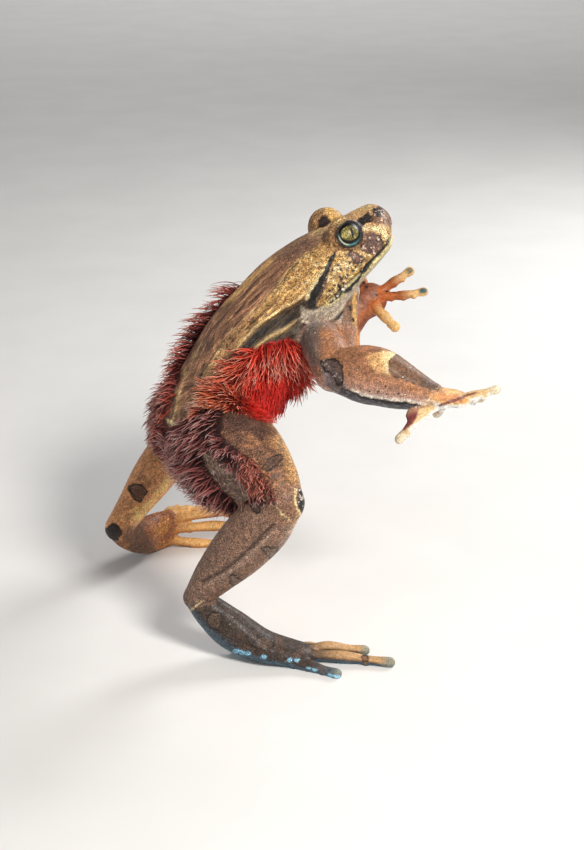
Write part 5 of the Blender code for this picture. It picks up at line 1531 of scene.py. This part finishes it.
def make_eye(side):
    """An eyeball with its iris, slit pupil and a slight dome over them."""
    centre, look, up = eye_frame(side)
    across = unit(np.cross(up, look))
    above = np.cross(look, across)
    rings, turns = 110, 200
    lat = math.pi * (np.arange(rings) + 0.5) / rings
    turn = 2 * math.pi * np.arange(turns) / turns
    lat, turn = lat[:, None] + 0 * turn, turn + 0 * lat[:, None]
    radius = EYE_RADIUS - 0.15 + 0.22 * np.clip(1 - (lat / 0.85) ** 2, 0, 1)
    axis = np.sin(lat)[..., None] * (across * np.cos(turn)[..., None] + above * np.sin(turn)[..., None])
    ring = centre + (axis + look * np.cos(lat)[..., None]) * radius[..., None]
    verts, faces = tube(ring, (centre + look * (EYE_RADIUS + 0.07), centre - look * (EYE_RADIUS - 0.15)))
    flat = np.stack([(verts - centre) @ across, (verts - centre) @ above], 1) / EYE_RADIUS
    tilt = math.radians(30 * side)
    turned = flat @ np.array([[math.cos(tilt), -math.sin(tilt)], [math.sin(tilt), math.cos(tilt)]])
    reach = np.hypot(flat[:, 0] / 1.08, flat[:, 1])
    lean = math.radians(20 * side)
    long_way, short_way = flat @ vec(math.cos(lean), math.sin(lean), 0)[:2], flat @ vec(-math.sin(lean), math.cos(lean), 0)[:2]
    oval = np.hypot(long_way / 1.10, (short_way - 0.03) * 1.16)
    around = np.arctan2(flat[:, 1], flat[:, 0])
    spoke = noise(np.stack([np.cos(around) * 9, np.sin(around) * 9, reach * 2.2], 1), 1.0, 81)
    fleck = layered(np.stack([turned[:, 0] * 12, turned[:, 1] * 9, 0 * reach], 1), 1.0, 83, 2)
    comb = noise(np.stack([turned[:, 0] * 22, turned[:, 1] * 4, 0 * reach], 1), 1.0, 82)
    colour = np.tile(srgb(92, 84, 46), (len(verts), 1))
    colour = blend(colour, srgb(172, 158, 98), smooth(-0.25, 0.35, fleck + 0.4 * comb))
    colour = blend(colour, srgb(38, 36, 20), smooth(0.0, 0.35, comb) * smooth(-0.25, 0.15, turned[:, 0]) * 0.9)
    slit = np.hypot((turned[:, 0] - 0.09) / PUPIL[0], turned[:, 1] / PUPIL[1]) + comb * 0.25
    colour = blend(colour, srgb(14, 12, 10), smooth(1.15, 0.85, slit))
    colour = blend(colour, SOOT * 0.6, smooth(IRIS_REACH - 0.05, IRIS_REACH, oval))
    below = smooth(-0.1, 0.5, -turned[:, 1] - turned[:, 0] * 0.5)
    rim = smooth(RING_REACH - 0.02, RING_REACH + 0.03, reach + 0.07 * below)
    colour = blend(colour, srgb(58, 82, 82), rim)
    lower = smooth(0.1, 0.55, -turned[:, 1] - turned[:, 0] * 0.35)
    # Dark over the upper part of the ring round the iris: painted shadow of the upper lid.
    colour = blend(colour, srgb(20, 24, 26), rim * smooth(0.0, 0.4, turned[:, 1] + turned[:, 0] * 0.2) * 0.9)
    colour = blend(colour, srgb(62, 136, 138), rim * lower)
    # A cream-white flush on the teal crescent's left side: a painted highlight.
    colour = blend(colour, srgb(216, 222, 188), rim * lower * smooth(0.0, 0.4, -turned[:, 0]) * 0.85)
    behind = ((verts - centre) @ look < 0)
    colour = blend(colour, srgb(40, 44, 42), behind * 1.0)
    made = make_mesh("eyeball_" + ("left" if side > 0 else "right"), verts, faces)
    add_colour(made, "eye_colour", colour)
    made.data.shade_smooth()
    return made


def area_light(name, place, aim, width, power, colour=(1, 1, 1)):
    light = bpy.data.lights.new(name, "AREA")
    light.shape, light.size, light.energy, light.color = "DISK", width, power, colour
    made = bpy.data.objects.new(name, light)
    made.location = place
    made.rotation_euler = (Vector(aim) - Vector(place)).to_track_quat("-Z", "Y").to_euler()
    bpy.context.scene.collection.objects.link(made)


def make_studio():
    """A pale floor, soft lights and the photograph's camera."""
    n = Nodes("pale_floor", Roughness=0.9)
    tone = n.ramp(n.grain(0.05, 3.0), 0.3, 0.7, 0.74, 0.77)
    floor = make_mesh("floor", vec(-9, -9, 0, 9, -9, 0, 9, 9, 0, -9, 9, 0).reshape(4, 3) / MM - SHIFT / MM * (1, 1, 1),
                      np.array([[0, 1, 2, 3]]))
    floor.data.materials.append(n.end(Base_Color=n.add("CombineColor", {0: tone, 1: n.math("MULTIPLY", tone, 0.985), 2: n.math("MULTIPLY", tone, 0.96)})))
    aim = (0.0, 0.0, 0.07)
    area_light("key", (0.34, -0.50, 0.60), aim, 0.22, 7.0, (1.0, 0.96, 0.91))
    area_light("fill", (-0.60, -0.45, 0.30), aim, 0.50, 0.8, (0.95, 0.97, 1.0))
    area_light("rim", (0.45, 0.45, 0.45), aim, 0.30, 3.5)
    for number, (x, y) in enumerate(((0.0, 1.9), (0.0, -1.9), (1.9, 0.0), (-1.9, 0.0)), 1):
        area_light(f"floor_{number}", (x, y, 1.1), (x * 1.25, y * 1.25, 0.0), 1.6, 9.0)
    world = bpy.data.worlds.new("studio")
    bpy.context.scene.world = world
    world.use_nodes = True
    back = world.node_tree.nodes["Background"]
    back.inputs["Color"].default_value, back.inputs["Strength"].default_value = (0.97, 0.98, 1.0, 1.0), 0.22
    bpy.context.scene.view_settings.view_transform = "Standard"

    camera = bpy.data.objects.new("camera", bpy.data.cameras.new("camera"))
    bpy.context.scene.collection.objects.link(camera)
    camera.data.sensor_fit, camera.data.sensor_width = "AUTO", 36.0
    camera.data.lens = 36.0 * FOCAL / FRAME_HEIGHT
    camera.data.clip_start, camera.data.clip_end = 0.01, 50.0
    camera.location = Vector((TARGET + BACK * RANGE) * MM + SHIFT)
    camera.rotation_euler = Vector(-BACK).to_track_quat("-Z", "Y").to_euler()
    bpy.context.scene.camera = camera


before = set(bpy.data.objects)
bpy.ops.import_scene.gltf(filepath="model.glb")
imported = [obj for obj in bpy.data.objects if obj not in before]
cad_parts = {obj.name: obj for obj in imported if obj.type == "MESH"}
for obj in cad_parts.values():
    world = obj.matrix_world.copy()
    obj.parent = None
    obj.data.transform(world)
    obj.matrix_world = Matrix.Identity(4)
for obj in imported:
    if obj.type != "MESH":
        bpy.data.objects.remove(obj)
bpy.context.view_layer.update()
low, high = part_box("eye_right")
SHIFT = np.array((low + high) / 2) - eye_frame(-1)[0] * MM

skin, facts = make_skin()
facts["coat"] = coat_cover(skin, facts)
facts["normal"] = skin.normals()
paint = Paint(len(skin.verts))
paint_body(paint, skin, facts)
paint_limbs(paint, skin, facts)
grained(paint, skin, facts)

skin.verts[:, 2] = np.maximum(skin.verts[:, 2], FLOOR_LEVEL)  # soles and toes lie flat on the floor
hide = make_mesh("skin", skin.verts, skin.faces)
add_colour(hide, "skin_colour", paint.colour)
add_colour(hide, "skin_detail", paint.detail)
hide.data.shade_smooth()
hide.data.materials.append(skin_material())
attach(hide, "root")
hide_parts("head", "torso", *LIMBS)

coat_stuff, eye_stuff = coat_material(), eye_material()
draw = np.random.default_rng(11)
for kind in COATS:
    for piece in make_coat(kind, skin, facts, draw):
        piece.data.materials.append(coat_stuff)
        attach(piece, "root")
for side, node in ((-1, "eye_right"), (1, "eye_left")):
    ball_piece = make_eye(side)
    ball_piece.data.materials.append(eye_stuff)
    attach(ball_piece, "root")
    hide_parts(node)

make_studio()
